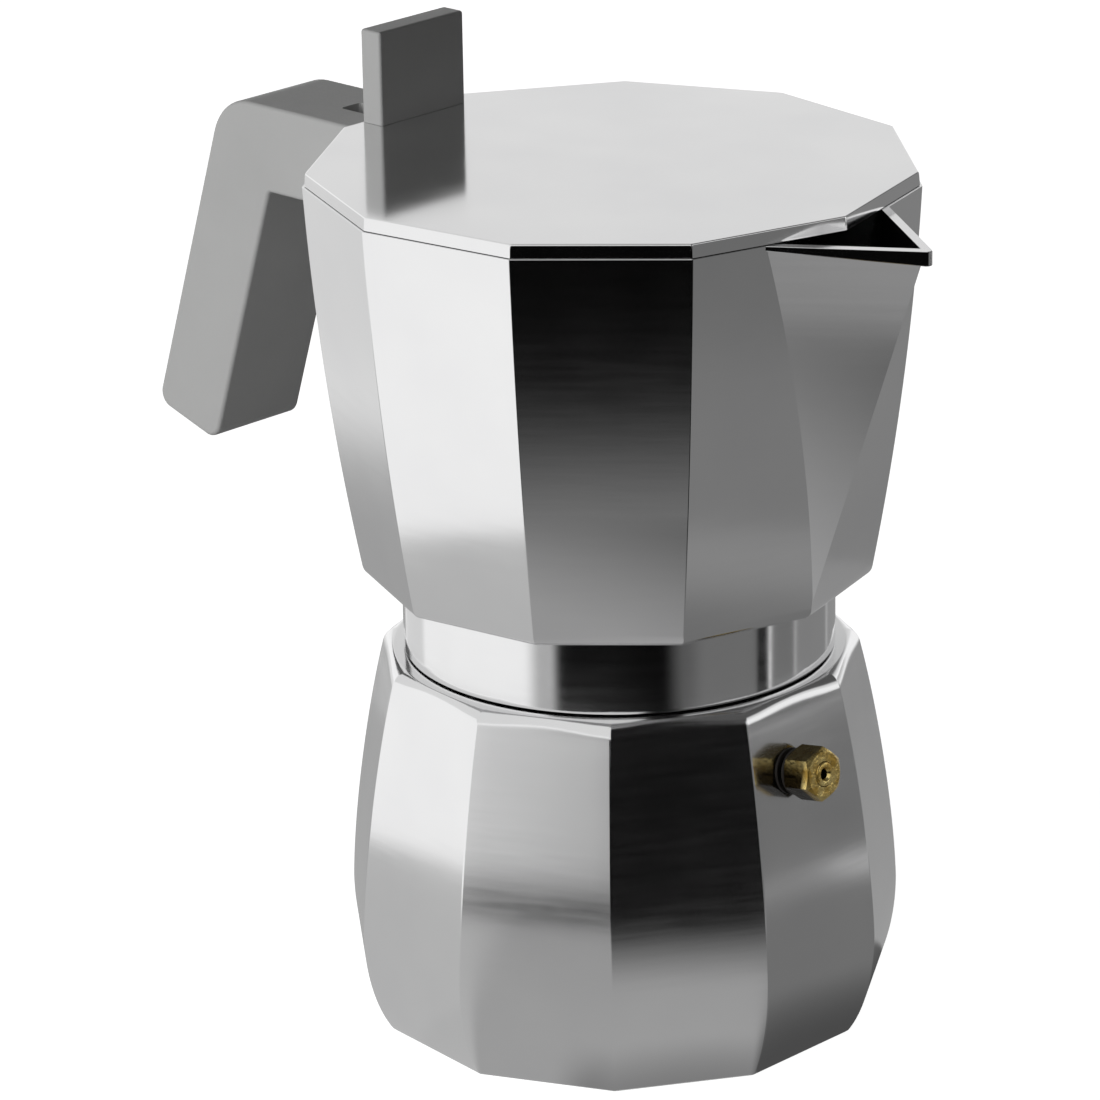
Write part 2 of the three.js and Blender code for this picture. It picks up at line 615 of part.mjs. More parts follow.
// Side outline: an arm square to the chamber and a leg that slants away, of the same thickness.
function handleOutline() {
  const down = new THREE.Vector2(-Math.sin(LEG_SLANT), -Math.cos(LEG_SLANT));
  const across = new THREE.Vector2(Math.cos(LEG_SLANT), -Math.sin(LEG_SLANT));
  const corner = new THREE.Vector2(HANDLE_CORNER_X, ARM_TOP);
  const armBottom = ARM_TOP - ARM_THICKNESS;
  const reach = HANDLE_CORNER_ROUND * Math.tan((Math.PI / 2 - LEG_SLANT) / 2);
  const backTop = corner.clone().addScaledVector(down, reach);
  const backEnd = corner.clone().addScaledVector(down, LEG_LENGTH);
  const frontEnd = backEnd.clone().addScaledVector(across, ARM_THICKNESS);
  const rise = (armBottom - frontEnd.y) / -down.y;
  const crook = frontEnd.clone().addScaledVector(down, -rise);
  const face = (height) => -(chamberRadius(height) * APOTHEM + GAP);
  const shape = new THREE.Shape();
  shape.moveTo(face(armBottom), armBottom);
  shape.lineTo(face(ARM_TOP), ARM_TOP);
  shape.lineTo(corner.x + reach, corner.y);
  shape.quadraticCurveTo(corner.x, corner.y, backTop.x, backTop.y);
  shape.lineTo(backEnd.x - down.x * LEG_END_ROUND, backEnd.y - down.y * LEG_END_ROUND);
  shape.lineTo(backEnd.x + across.x * LEG_END_ROUND, backEnd.y + across.y * LEG_END_ROUND);
  shape.lineTo(frontEnd.x - across.x * LEG_END_ROUND, frontEnd.y - across.y * LEG_END_ROUND);
  shape.lineTo(frontEnd.x - down.x * LEG_END_ROUND, frontEnd.y - down.y * LEG_END_ROUND);
  shape.lineTo(crook.x, crook.y);
  return shape;
}

function handleGrip() {
  const bar = sideBar(handleOutline(), HANDLE_WIDTH, HANDLE_EDGE_ROUND, 6);
  const pocketHalf = LUG_WIDTH / 2 + GAP;
  const slotHalf = TONGUE_WIDTH / 2 + 0.5;
  const front = -40;
  const lugPocket = block(LUG_END - GAP, front, -pocketHalf, pocketHalf, LUG_BOTTOM - GAP, LUG_TOP + GAP);
  const earPocket = block(
    SLOT_END, front, -pocketHalf, pocketHalf, LUG_TOP, HINGE_Z + KNUCKLE_RADIUS + GAP,
  );
  const slot = block(SLOT_END, front, -slotHalf, slotHalf, LUG_TOP, ARM_TOP + 1);
  const armBottom = ARM_TOP - ARM_THICKNESS;
  const screwHole = turned([
    [0, armBottom - 1],
    [HANDLE_SCREW_HEAD + 0.5, armBottom - 1],
    [HANDLE_SCREW_HEAD + 0.5, armBottom + 2.6],
    [HANDLE_SCREW_RADIUS + 0.3, armBottom + 2.6],
    [HANDLE_SCREW_RADIUS + 0.3, LUG_BOTTOM],
    [0, LUG_BOTTOM],
  ], SMALL_SIDES).translate([HANDLE_SCREW_X, 0, 0]);
  return cut(bar, lugPocket, earPocket, slot, screwHole);
}

function handleScrew() {
  const seat = ARM_TOP - ARM_THICKNESS + 1.6;
  const head = disc(HANDLE_SCREW_HEAD, seat - 1.5, seat, SMALL_SIDES);
  const shank = disc(HANDLE_SCREW_RADIUS, seat - 0.5, LUG_TOP, SMALL_SIDES);
  const drive = block(-0.5, 0.5, -5, 5, seat - 2, seat - 0.9);
  return cut(joined(head, shank), drive).translate([HANDLE_SCREW_X, 0, 0]);
}

function handleWasher() {
  const bottom = ARM_TOP - ARM_THICKNESS + 1.7;
  return ring(HANDLE_SCREW_RADIUS + 0.15, HANDLE_SCREW_HEAD + 0.3, bottom, bottom + 0.8, SMALL_SIDES)
    .translate([HANDLE_SCREW_X, 0, 0]);
}

// ---- Assembly ----------------------------------------------------------------------------------

const mokaPot = new THREE.Group();

mokaPot.add(
  piece('boiler', boilerBody(), satinAluminium(0.25)),
  piece('valve_body', valveBody(), brass()),
  piece('valve_washer', valveWasher(), fibre()),
  piece('valve_poppet', valvePoppet(), steel()),
  piece('valve_spring', valveSpring(), steel()),
  piece('valve_cap', valveCap(), brass()),
  piece('funnel_cup', funnelCup(), satinAluminium(0.35)),
  piece('funnel_tube', funnelTube(), satinAluminium(0.35)),
  piece('funnel_filter', funnelFilter(), satinAluminium(0.35)),
  piece('gasket', gasketRing(), rubber()),
  piece('filter_plate', filterPlate(), steel()),
  piece('upper_chamber', upperChamber(), satinAluminium(0.25)),
  piece('coffee_column', coffeeColumn(), satinAluminium(0.35)),
  piece('lid', lidPlate(), satinAluminium(0.22)),
  piece('knob', knobBlock(), greyPlastic()),
  piece('knob_screw_left', knobScrew(knobScrewPlaces.left), steel()),
  piece('knob_screw_right', knobScrew(knobScrewPlaces.right), steel()),
  piece('hinge_pin', hingePin(), steel()),
  piece('handle', handleGrip(), greyPlastic()),
  piece('handle_screw', handleScrew(), steel()),
  piece('handle_washer', handleWasher(), steel()),
);

export default mokaPot;
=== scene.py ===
import math

import bmesh
import bpy
from mathutils import Matrix, Vector


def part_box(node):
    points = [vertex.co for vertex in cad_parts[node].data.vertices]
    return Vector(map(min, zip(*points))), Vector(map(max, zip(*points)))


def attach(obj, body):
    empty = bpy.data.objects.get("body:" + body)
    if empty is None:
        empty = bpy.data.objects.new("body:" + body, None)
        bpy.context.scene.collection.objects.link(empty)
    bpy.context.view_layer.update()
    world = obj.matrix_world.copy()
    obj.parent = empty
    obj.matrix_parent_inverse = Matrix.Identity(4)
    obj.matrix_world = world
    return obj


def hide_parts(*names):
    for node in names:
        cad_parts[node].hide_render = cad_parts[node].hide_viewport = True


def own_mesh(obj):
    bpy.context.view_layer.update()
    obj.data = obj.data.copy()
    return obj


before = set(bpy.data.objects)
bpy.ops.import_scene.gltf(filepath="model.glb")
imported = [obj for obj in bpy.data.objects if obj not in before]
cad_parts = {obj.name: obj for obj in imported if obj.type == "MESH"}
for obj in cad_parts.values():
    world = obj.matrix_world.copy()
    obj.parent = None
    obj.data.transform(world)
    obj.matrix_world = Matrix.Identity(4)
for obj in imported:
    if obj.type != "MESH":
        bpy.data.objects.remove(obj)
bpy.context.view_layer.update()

# Shapes are modelled in millimetres in the frame's axes and scaled to metres when they are finished.
MM = 0.001


def low(node):
    """Lowest corner of a CAD node in millimetres."""
    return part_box(node)[0] / MM


def high(node):
    """Highest corner of a CAD node in millimetres."""
    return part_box(node)[1] / MM


# ---- Driving dimensions, in millimetres ----------------------------------------------------------

FACETS = 11
HALF_FACET = math.pi / FACETS
APOTHEM = math.cos(HALF_FACET)
EDGE_ROUND = 0.7
ROUND_SIDES = 128
SMALL_SIDES = 40
CLEARANCE = 0.3
WELD = 0.004

BASE_RADIUS = 45.1
BELLY_RADIUS = 50.6
BELLY_HEIGHT = 20
SHOULDER_RADIUS = 44
SHOULDER_HEIGHT = 66
BOILER_TOP = 68.7
BOILER_RIM_TOP = 69
BOILER_WALL = 2.8
BOILER_FLOOR = 3.2
NECK_RADIUS = 33.6
NECK_BORE = 30.6
NECK_TOP = high("boiler").z
THREAD_RADIUS = 34.7
THREAD_PITCH = 3

VALVE_PLACE = Vector((44.5, -2.4, 55.7))
VALVE_TILT = math.radians(10)
VALVE_HEX_RADIUS = 4.9
VALVE_HEX_BOTTOM = 1.2
VALVE_HEX_TOP = 6.9
VALVE_HEX_TURN = math.radians(-12)
VALVE_SHANK_RADIUS = 3.3
VALVE_INNER_END = -8
VALVE_BORE = 2.3
VALVE_SEAT_BORE = 1.2
VALVE_CAP_BOTTOM = 4.2
VALVE_CAP_HOLE = 0.9
VALVE_WASHER_RADIUS = 4.2
VALVE_WASHER_THICKNESS = 0.6
BRASS_PITS = 1100
POPPET_HEAD_RADIUS = 1.9
POPPET_HEAD_BOTTOM = VALVE_INNER_END + 1.6
POPPET_HEAD_TOP = VALVE_INNER_END + 3
SPRING_RADIUS = 1.55
SPRING_WIRE_RADIUS = 0.25
SPRING_TURNS = 5

CUP_BOTTOM = 52
CUP_RADIUS = 30.2
CUP_RIM_RADIUS = 33.4
CUP_RIM_TOP = high("funnel_cup").z
SHEET = 0.9
TUBE_RADIUS = 4.6
TUBE_BORE = 3.7
GASKET_RADIUS = 34.8
GASKET_BORE = 29.2
STRAINER_HOLE_RADIUS = 0.65
STRAINER_HOLE_RINGS = 7

COLLAR_RADIUS = 39
COLLAR_BORE = 35.2
COLLAR_BOTTOM = low("upper_chamber").z
CHAMBER_BOTTOM = 83.7
CHAMBER_TOP = high("upper_chamber").z
CHAMBER_FOOT_RADIUS = 45.8
CHAMBER_BOW_RADIUS = 52.8
CHAMBER_RIM_RADIUS = 54.8
CHAMBER_WALL = 2.4
CHAMBER_FOOT_ROUND = 1.8
CHAMBER_FLOOR_TOP = 87
GASKET_SEAT = 82.3
COLUMN_SPIGOT_RADIUS = 6
COLUMN_BASE_RADIUS = 10
COLUMN_TOP_RADIUS = 6.4
COLUMN_BORE = 3.8
OUTLET_WIDTH = 3.2

BEAK_TIP = 72
BEAK_ROOT_X = 50.3
BEAK_ROOT_Y = 15.7
BEAK_LIP_TIP = high("upper_chamber").x
BEAK_LIP_HEIGHT = 2.7
BEAK_LIP_ROOT_HEIGHT = 0.9
BEAK_INNER_TIP = 71.2

LID_TOP = high("lid").z
LID_BOTTOM = CHAMBER_TOP + 0.07
LID_TOP_RADIUS = 54
LID_EDGE_RADIUS = 54.4
LID_RECESS_RADIUS = 44

KNOB_BACK = low("knob").x
KNOB_FRONT = high("knob").x
KNOB_MIDDLE = (KNOB_BACK + KNOB_FRONT) / 2
KNOB_EDGE_ROUND = 0.55
KNOB_SCREW_RADIUS = 1.3
KNOB_SCREW_HEAD = 2.35
KNOB_SCREWS = {"left": -6.5, "right": 6.5}

HINGE = Vector((-59.5, 0, 152))
PIN_RADIUS = 1.4
KNUCKLE_RADIUS = 2.9
TONGUE_WIDTH = 4
LUG_WIDTH = 10.6
LUG_BOTTOM = 145.5
LUG_TOP = 148.8
LUG_END = -75

ARM_TOP = high("handle").z
ARM_THICKNESS = 16.5
HANDLE_WIDTH = high("handle").y - low("handle").y
HANDLE_CORNER_X = -89.6
HANDLE_CORNER_ROUND = 10.2
HANDLE_EDGE_ROUND = 1.0
LEG_SLANT = math.radians(17.8)
LEG_LENGTH = 66.6
LEG_END_ROUND = 3
SLOT_END = -66
HANDLE_SCREW_X = -71.5
HANDLE_SCREW_RADIUS = 1.9
HANDLE_SCREW_HEAD = 3.5

# ---- Profiles ------------------------------------------------------------------------------------


def bezier(points, steps):
    """Points along a quadratic or cubic curve, its first point left out."""
    row = []
    for i in range(1, steps + 1):
        t = i / steps
        level = [Vector(p) for p in points]
        while len(level) > 1:
            level = [a.lerp(b, t) for a, b in zip(level, level[1:])]
        row.append(tuple(level[0]))
    return row


def soften(corners, closed=False, steps=5):
    """A polyline whose corners given as (x, y, radius) are rounded by an arc."""
    count = len(corners)
    row = []
    for i, corner in enumerate(corners):
        here = Vector(corner[:2])
        radius = corner[2] if len(corner) > 2 else 0
        if radius == 0 or (not closed and i in (0, count - 1)):
            row.append(tuple(here))
            continue
        before = (Vector(corners[i - 1][:2]) - here).normalized()
        after = (Vector(corners[(i + 1) % count][:2]) - here).normalized()
        half = before.angle(after) / 2
        centre = here + (before + after).normalized() * (radius / math.sin(half))
        start = here + before * (radius / math.tan(half)) - centre
        end = here + after * (radius / math.tan(half)) - centre
        turn = start.angle_signed(end)
        for k in range(steps + 1):
            row.append(tuple(centre + Matrix.Rotation(-turn * k / steps, 2) @ start))
    return row


# ---- Mesh helpers --------------------------------------------------------------------------------


def mesh_object(name, verts, faces):
    mesh = bpy.data.meshes.new(name)
    mesh.from_pydata(verts, [], faces)
    obj = bpy.data.objects.new(name, mesh)
    bpy.context.collection.objects.link(obj)
    face_outward(obj)
    return obj


def face_outward(obj):
    work = bmesh.new()
    work.from_mesh(obj.data)
    bmesh.ops.recalc_face_normals(work, faces=work.faces)
    work.to_mesh(obj.data)
    work.free()


def clean(obj):
    """Merges points that coincide and drops faces without area, which boolean cuts leave behind."""
    work = bmesh.new()
    work.from_mesh(obj.data)
    bmesh.ops.remove_doubles(work, verts=work.verts, dist=WELD)
    bmesh.ops.dissolve_degenerate(work, edges=work.edges, dist=WELD)
    bmesh.ops.recalc_face_normals(work, faces=work.faces)
    work.to_mesh(obj.data)
    work.free()


def loft(name, rings, closed=False):
    """Side walls between rings of equal length; the ends are capped, or joined if it is closed."""
    size = len(rings[0])
    verts = [point for ring in rings for point in ring]
    faces = []
    pairs = len(rings) if closed else len(rings) - 1
    for i in range(pairs):
        a, b = i * size, ((i + 1) % len(rings)) * size
        for k in range(size):
            n = (k + 1) % size
            faces.append((a + k, a + n, b + n, b + k))
    if not closed:
        faces.append(tuple(range(size - 1, -1, -1)))
        faces.append(tuple(range(len(verts) - size, len(verts))))
    return mesh_object(name, verts, faces)


def round_ring(radius, height, sides):
    turn = 2 * math.pi / sides
    return [(radius * math.cos(k * turn), radius * math.sin(k * turn), height) for k in range(sides)]


def faceted_ring(radius, height, start, corner=EDGE_ROUND, roundness=0.0, steps=4, flat_steps=1):
    """An eleven-sided ring whose corners are rounded by small arcs; roundness 1 makes it a circle."""
    centre = radius - corner / APOTHEM
    corners = []
    for k in range(FACETS):
        middle = start + 2 * HALF_FACET * k
        for i in range(steps + 1):
            angle = middle - HALF_FACET + 2 * HALF_FACET * i / steps
            x = centre * math.cos(middle) + corner * math.cos(angle)
            y = centre * math.sin(middle) + corner * math.sin(angle)
            corners.append(Vector((x, y, 0)))
    points = []
    for i, point in enumerate(corners):
        points.append(point)
        if i % (steps + 1) == steps:
            following = corners[(i + 1) % len(corners)]
            points += [point.lerp(following, k / flat_steps) for k in range(1, flat_steps)]
    circle = radius * (1 + APOTHEM) / 2
    ring = []
    for point in points:
        moved = point * (1 + roundness * (circle / point.length - 1))
        ring.append((moved.x, moved.y, height))
    return ring


def turned(name, profile, sides=ROUND_SIDES, closed=False):
    return loft(name, [round_ring(r, z, sides) for r, z in profile], closed)


def faceted(name, profile, start=0.0, corner=EDGE_ROUND, flat_steps=1):
    """A body of eleven flat sides; its profile has (radius, height) or (radius, height, roundness)."""
    rings = []
    for radius, height, *roundness in profile:
        rings.append(faceted_ring(radius, height, start, corner, sum(roundness), flat_steps=flat_steps))
    return loft(name, rings)


def disc(name, radius, bottom, top, sides=SMALL_SIDES):
    return turned(name, [(radius, bottom), (radius, top)], sides)


def prism(name, outline, width):
    """A side outline (x, z) given a width along Y."""
    sides = [[(x, y, z) for x, z in outline] for y in (-width / 2, width / 2)]
    return loft(name, sides)


def block(name, x, y, z):
    return prism(name, [(x[0], z[0]), (x[1], z[0]), (x[1], z[1]), (x[0], z[1])], y[1] - y[0])


def hull(name, points):
    work = bmesh.new()
    for point in points:
        work.verts.new(point)
    result = bmesh.ops.convex_hull(work, input=work.verts)
    bmesh.ops.delete(work, geom=result["geom_interior"], context="VERTS")
    bmesh.ops.dissolve_limit(work, angle_limit=0.001, verts=work.verts, edges=work.edges)
    mesh = bpy.data.meshes.new(name)
    work.to_mesh(mesh)
    work.free()
    obj = bpy.data.objects.new(name, mesh)
    bpy.context.collection.objects.link(obj)
    face_outward(obj)
    return obj


def settle(obj):
    """Applies the object's modifiers to its mesh."""
    shown = obj.evaluated_get(bpy.context.evaluated_depsgraph_get())
    obj.data = bpy.data.meshes.new_from_object(shown)
    obj.modifiers.clear()


def combine(obj, operation, *tools):
    for tool in tools:
        step = obj.modifiers.new(operation, "BOOLEAN")
        step.operation = operation
        step.solver = "EXACT"
        step.object = tool
        settle(obj)
        bpy.data.objects.remove(tool)
    return obj


def bevelled(obj, width, segments=3, angle=35):
    step = obj.modifiers.new("edges", "BEVEL")
    step.width = width
    step.segments = segments
    step.limit_method = "ANGLE"
    step.angle_limit = math.radians(angle)
    settle(obj)
    return obj


def helix_ridge(name, radius, depth, bottom, turns, pitch=THREAD_PITCH, per_turn=64):
    """A triangular thread ridge that fades in and out at its ends; depth < 0 points inward."""
    rings = []
    buried, half_root, half_crest = 0.6, 1.1, 0.3
    count = round(turns * per_turn)
    for i in range(count + 1):
        angle = 2 * math.pi * i / per_turn
        fade = min(1, i / (per_turn / 6), (count - i) / (per_turn / 6))
        crest = radius + depth * max(fade, 0.02)
        root = radius - math.copysign(buried, depth)
        middle = bottom + pitch * i / per_turn
        section = [(root, -half_root), (crest, -half_crest), (crest, half_crest), (root, half_root)]
        rings.append([(r * math.cos(angle), r * math.sin(angle), middle + z) for r, z in section])
    return loft(name, rings)


def finished(obj, body, material, slot, *nodes, sharp=28):
    """Scales a shape to metres, smooths it, gives it its material and ties it to its CAD body."""
    clean(obj)
    obj.data.transform(Matrix.Scale(MM, 4))
    obj.data.shade_smooth()
    obj.data.set_sharp_from_angle(angle=math.radians(sharp))
    weighted = obj.modifiers.new("even_normals", "WEIGHTED_NORMAL")
    weighted.keep_sharp = True
    weighted.weight = 80
    obj.data.materials.clear()
    obj.data.materials.append(material)
    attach(obj, body)
    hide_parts(*nodes)


# ---- Materials -----------------------------------------------------------------------------------


class Nodes:
    """Short ways to add and link nodes in one node tree."""

    def __init__(self, tree):
        self.tree = tree

    def add(self, kind, inputs=None, **settings):
        node = self.tree.nodes.new(kind)
        for key, value in settings.items():
            setattr(node, key, value)
        for key, value in (inputs or {}).items():
            if isinstance(value, bpy.types.NodeSocket):
                self.tree.links.new(value, node.inputs[key])
            else:
                node.inputs[key].default_value = value
        return node

    def math(self, operation, *values):
        return self.add("ShaderNodeMath", dict(enumerate(values)), operation=operation).outputs[0]

    def spread(self, value, low_end, high_end, start=0.3, stop=0.7, interpolation_type="LINEAR"):
        inputs = {
            "Value": value, "From Min": start, "From Max": stop, "To Min": low_end, "To Max": high_end,
        }
        node = self.add("ShaderNodeMapRange", inputs, interpolation_type=interpolation_type)
        return node.outputs["Result"]


class Finish(Nodes):
    """The nodes of one surface material."""

    def __init__(self, name):
        self.material = bpy.data.materials.new(name)
        self.material.use_nodes = True
        super().__init__(self.material.node_tree)
        self.shader = self.tree.nodes["Principled BSDF"]

    def link(self, output, name):
        self.tree.links.new(output, self.shader.inputs[name])

    def set(self, **values):
        for key, value in values.items():
            self.shader.inputs[key.replace("_", " ")].default_value = value

    def place(self):
        return self.add("ShaderNodeTexCoord").outputs["Object"]

    def noise(self, vector, scale, detail=4.0):
        inputs = {"Vector": vector, "Scale": scale, "Detail": detail}
        return self.add("ShaderNodeTexNoise", inputs).outputs["Fac"]

    def tint(self, value, first, second):
        inputs = {0: value, 6: (*first, 1), 7: (*second, 1)}
        return self.add("ShaderNodeMix", inputs, data_type="RGBA").outputs[2]

    def bump(self, height, strength, distance):
        inputs = {"Height": height, "Strength": strength, "Distance": distance}
        self.link(self.add("ShaderNodeBump", inputs).outputs["Normal"], "Normal")

    def around(self, along, up):
        """Coordinates that wrap round the Z axis: streaks of this many per radian and per metre."""
        split = self.add("ShaderNodeSeparateXYZ", {"Vector": self.place()}).outputs
        wide = self.math("MULTIPLY", self.math("ARCTAN2", split["Y"], split["X"]), along)
        tall = self.math("MULTIPLY", split["Z"], up)
        return self.add("ShaderNodeCombineXYZ", {"X": wide, "Y": tall}).outputs["Vector"]


def satin_aluminium(name, roughness, streaks, bump):
    """Cast and polished aluminium: faint lines round the body, cloudy variation, no strong colour."""
    m = Finish(name)
    m.set(Metallic=1.0)
    lines = m.noise(m.around(3, streaks), 1.0, 3)
    clouds = m.noise(m.place(), 45, 3)
    m.link(m.tint(m.spread(clouds, 0, 1), (0.81, 0.81, 0.815), (0.85, 0.85, 0.85)), "Base Color")
    mixed = m.math("ADD", lines, clouds)
    m.link(m.spread(mixed, roughness * 0.85, roughness * 1.15, 0.7, 1.3), "Roughness")
    m.bump(lines, bump, 0.00002)
    return m.material


def sheet_aluminium(name, roughness):
    """Pressed sheet: dull, with faint turning lines and handling marks."""
    m = Finish(name)
    m.set(Metallic=1.0)
    lines = m.noise(m.around(2, 2600), 1.0, 2)
    clouds = m.noise(m.place(), 90, 5)
    m.link(m.tint(m.spread(clouds, 0, 1), (0.70, 0.70, 0.71), (0.80, 0.80, 0.80)), "Base Color")
    m.link(m.spread(clouds, roughness * 0.8, roughness * 1.25), "Roughness")
    m.bump(lines, 0.15, 0.00003)
    return m.material


def moulded_plastic(name):
    """Grey moulded plastic with a fine spark-eroded grain."""
    m = Finish(name)
    m.set(IOR=1.5)
    grain = m.noise(m.place(), 2200, 2)
    clouds = m.noise(m.place(), 60, 3)
    m.link(m.tint(m.spread(clouds, 0, 1), (0.355, 0.356, 0.353), (0.375, 0.376, 0.373)), "Base Color")
    m.link(m.spread(grain, 0.45, 0.58), "Roughness")
    m.bump(grain, 0.35, 0.00004)
    return m.material


def brass_with_painted_shade(name):
    """Machined brass, pitted and mottled, with painted shade on its flanks: they are coloured near
    black, most of all low down.
    """
    m = Finish(name)
    m.set(Metallic=1.0)
    spots = m.noise(m.place(), 420, 5)
    pits = m.noise(m.place(), BRASS_PITS, 2)
    clean = m.tint(m.spread(spots, 0, 1, 0.35, 0.65), (0.50, 0.32, 0.07), (1.0, 0.80, 0.33))
    # Painted shade: behind the front face the flanks are mixed towards near black, fully below the
    # valve's middle and at 0.7 above it.
    split = m.add("ShaderNodeSeparateXYZ", {"Vector": m.place()}).outputs
    front = VALVE_PLACE.x + VALVE_HEX_TOP * math.cos(VALVE_TILT)
    middle = VALVE_PLACE.z + VALVE_HEX_TOP * math.sin(VALVE_TILT)
    behind = m.spread(split["X"], 1, 0, (front - 1.6) * MM, (front - 0.6) * MM)
    beneath = m.spread(split["Z"], 1.0, 0.7, middle * MM, (middle + 2.5) * MM)
    painted_shade = m.math("MULTIPLY", behind, beneath)
    dark = (0.018, 0.012, 0.004, 1)
    shade = m.add("ShaderNodeMix", {0: painted_shade, 6: clean, 7: dark}, data_type="RGBA")
    m.link(shade.outputs[2], "Base Color")
    m.link(m.spread(spots, 0.32, 0.18), "Roughness")
    m.bump(pits, 1.0, 0.00012)
    return m.material


def plain_steel(name):
    m = Finish(name)
    m.set(Metallic=1.0)
    marks = m.noise(m.place(), 700, 4)
    m.link(m.tint(m.spread(marks, 0, 1), (0.52, 0.52, 0.53), (0.64, 0.64, 0.65)), "Base Color")
    m.link(m.spread(marks, 0.22, 0.36), "Roughness")
    m.bump(marks, 0.15, 0.00002)
    return m.material


def soft_rubber(name, first, second):
    m = Finish(name)
    grain = m.noise(m.place(), 900, 4)
    m.link(m.tint(m.spread(grain, 0, 1), first, second), "Base Color")
    m.link(m.spread(grain, 0.55, 0.75), "Roughness")
    m.bump(grain, 0.3, 0.00005)
    return m.material


boiler_metal = satin_aluminium("boiler_metal", 0.14, 900, 0.10)
chamber_metal = satin_aluminium("chamber_metal", 0.12, 700, 0.10)
lid_metal = satin_aluminium("lid_metal", 0.10, 400, 0.05)
sheet_metal = sheet_aluminium("sheet_metal", 0.34)
plastic = moulded_plastic("grey_plastic")
brass = brass_with_painted_shade("brass")
steel = plain_steel("steel")
silicone = soft_rubber("silicone", (0.74, 0.73, 0.69), (0.80, 0.79, 0.75))
# The washer's fibre is coloured almost black as painted shade: it stands for the shade at the valve's
# foot.
shaded_fibre = soft_rubber("shaded_fibre", (0.010, 0.008, 0.007), (0.022, 0.018, 0.015))

# ---- Boiler --------------------------------------------------------------------------------------


def boiler_outline():
    """The outside of the boiler: flat sides whose shoulder runs into a round rim."""
    start = (BASE_RADIUS, 0)
    belly = (BELLY_RADIUS, BELLY_HEIGHT)
    shoulder = (SHOULDER_RADIUS, SHOULDER_HEIGHT)
    row = [(BASE_RADIUS - 0.4, 0), (BASE_RADIUS - 0.1, 0.1)]
    row += bezier([start, (BASE_RADIUS + 2.5, 3), (BELLY_RADIUS, BELLY_HEIGHT / 2), belly], 20)
    row += bezier([belly, (BELLY_RADIUS - 0.4, 34), (SHOULDER_RADIUS + 3, 54), shoulder], 28)
    corner = (SHOULDER_RADIUS - 0.5, BOILER_RIM_TOP)
    rim_steps = 12
    rim = bezier([shoulder, corner, (SHOULDER_RADIUS - 2.4, BOILER_RIM_TOP)], rim_steps)
    for i, (radius, height) in enumerate(rim):
        row.append((radius, height, ((i + 1) / rim_steps) ** 2))
    row.append((COLLAR_RADIUS - 1, BOILER_RIM_TOP, 1))
    return row


def boiler_hollow():
    belly = BELLY_RADIUS * APOTHEM - BOILER_WALL
    top = SHOULDER_RADIUS * APOTHEM - BOILER_WALL
    floor_edge = (BASE_RADIUS * APOTHEM - 7, BOILER_FLOOR)
    middle = (belly, BELLY_HEIGHT)
    high_wall = (top, SHOULDER_HEIGHT - 4)
    row = [floor_edge]
    row += bezier([floor_edge, (belly - 0.6, BOILER_FLOOR + 1), middle], 14)
    row += bezier([middle, (belly - 0.4, 34), (top + 2.7, 52), high_wall], 16)
    row += bezier([high_wall, (top - 1, SHOULDER_HEIGHT), (NECK_BORE, SHOULDER_HEIGHT)], 8)
    row += [(NECK_BORE, NECK_TOP - 0.5), (NECK_BORE + 0.5, NECK_TOP), (NECK_BORE + 0.5, NECK_TOP + 1)]
    return row


def on_valve_axis(obj):
    """Moves a shape built along +Z, with zero on the boiler's facet, onto the valve's axis."""
    turn = Matrix.Rotation(math.pi / 2 - VALVE_TILT, 4, "Y")
    obj.data.transform(Matrix.Translation(VALVE_PLACE) @ turn)
    return obj


def make_boiler():
    body = faceted("boiler_body", boiler_outline(), HALF_FACET, flat_steps=8)
    neck = turned("neck", soften([
        (NECK_RADIUS, BOILER_TOP - 2),
        (NECK_RADIUS, NECK_TOP, 0.6),
        (NECK_RADIUS - 2, NECK_TOP),
    ]))
    thread = helix_ridge("thread", NECK_RADIUS, THREAD_RADIUS - NECK_RADIUS, BOILER_TOP + 1.9, 1.9)
    thread.data.transform(Matrix.Rotation(math.pi / ROUND_SIDES, 4, "Z"))
    combine(body, "UNION", neck, thread)
    hollow = turned("hollow", boiler_hollow())
    hole = on_valve_axis(disc("hole", VALVE_SHANK_RADIUS + 0.1, -12, 12))
    combine(body, "DIFFERENCE", hollow, hole)
    finished(body, "boiler", boiler_metal, "satin_aluminium", "boiler")


# ---- Safety valve --------------------------------------------------------------------------------


def make_valve_body():
    hexagon = disc("valve", VALVE_HEX_RADIUS, VALVE_HEX_BOTTOM, VALVE_HEX_TOP, 6)
    hexagon.data.transform(Matrix.Rotation(VALVE_HEX_TURN, 4, "Z"))
    chamfer = turned("chamfer", [
        (VALVE_HEX_RADIUS - 0.4, VALVE_HEX_BOTTOM),
        (VALVE_HEX_RADIUS + 0.1, VALVE_HEX_BOTTOM + 0.4),
        (VALVE_HEX_RADIUS + 0.1, VALVE_HEX_TOP - 0.6),
        (VALVE_HEX_RADIUS - 0.9, VALVE_HEX_TOP),
    ], SMALL_SIDES)
    combine(hexagon, "INTERSECT", chamfer)
    shank = disc("shank", VALVE_SHANK_RADIUS, VALVE_INNER_END, VALVE_HEX_BOTTOM + 1)
    combine(hexagon, "UNION", shank)
    bore = disc("bore", VALVE_BORE, VALVE_INNER_END + 1.5, VALVE_HEX_TOP + 1)
    seat = disc("seat", VALVE_SEAT_BORE, VALVE_INNER_END - 1, VALVE_INNER_END + 2)
    combine(hexagon, "DIFFERENCE", bore, seat)
    bevelled(hexagon, 0.12, 2)
    finished(on_valve_axis(hexagon), "boiler", brass, "valve_brass", "valve_body")


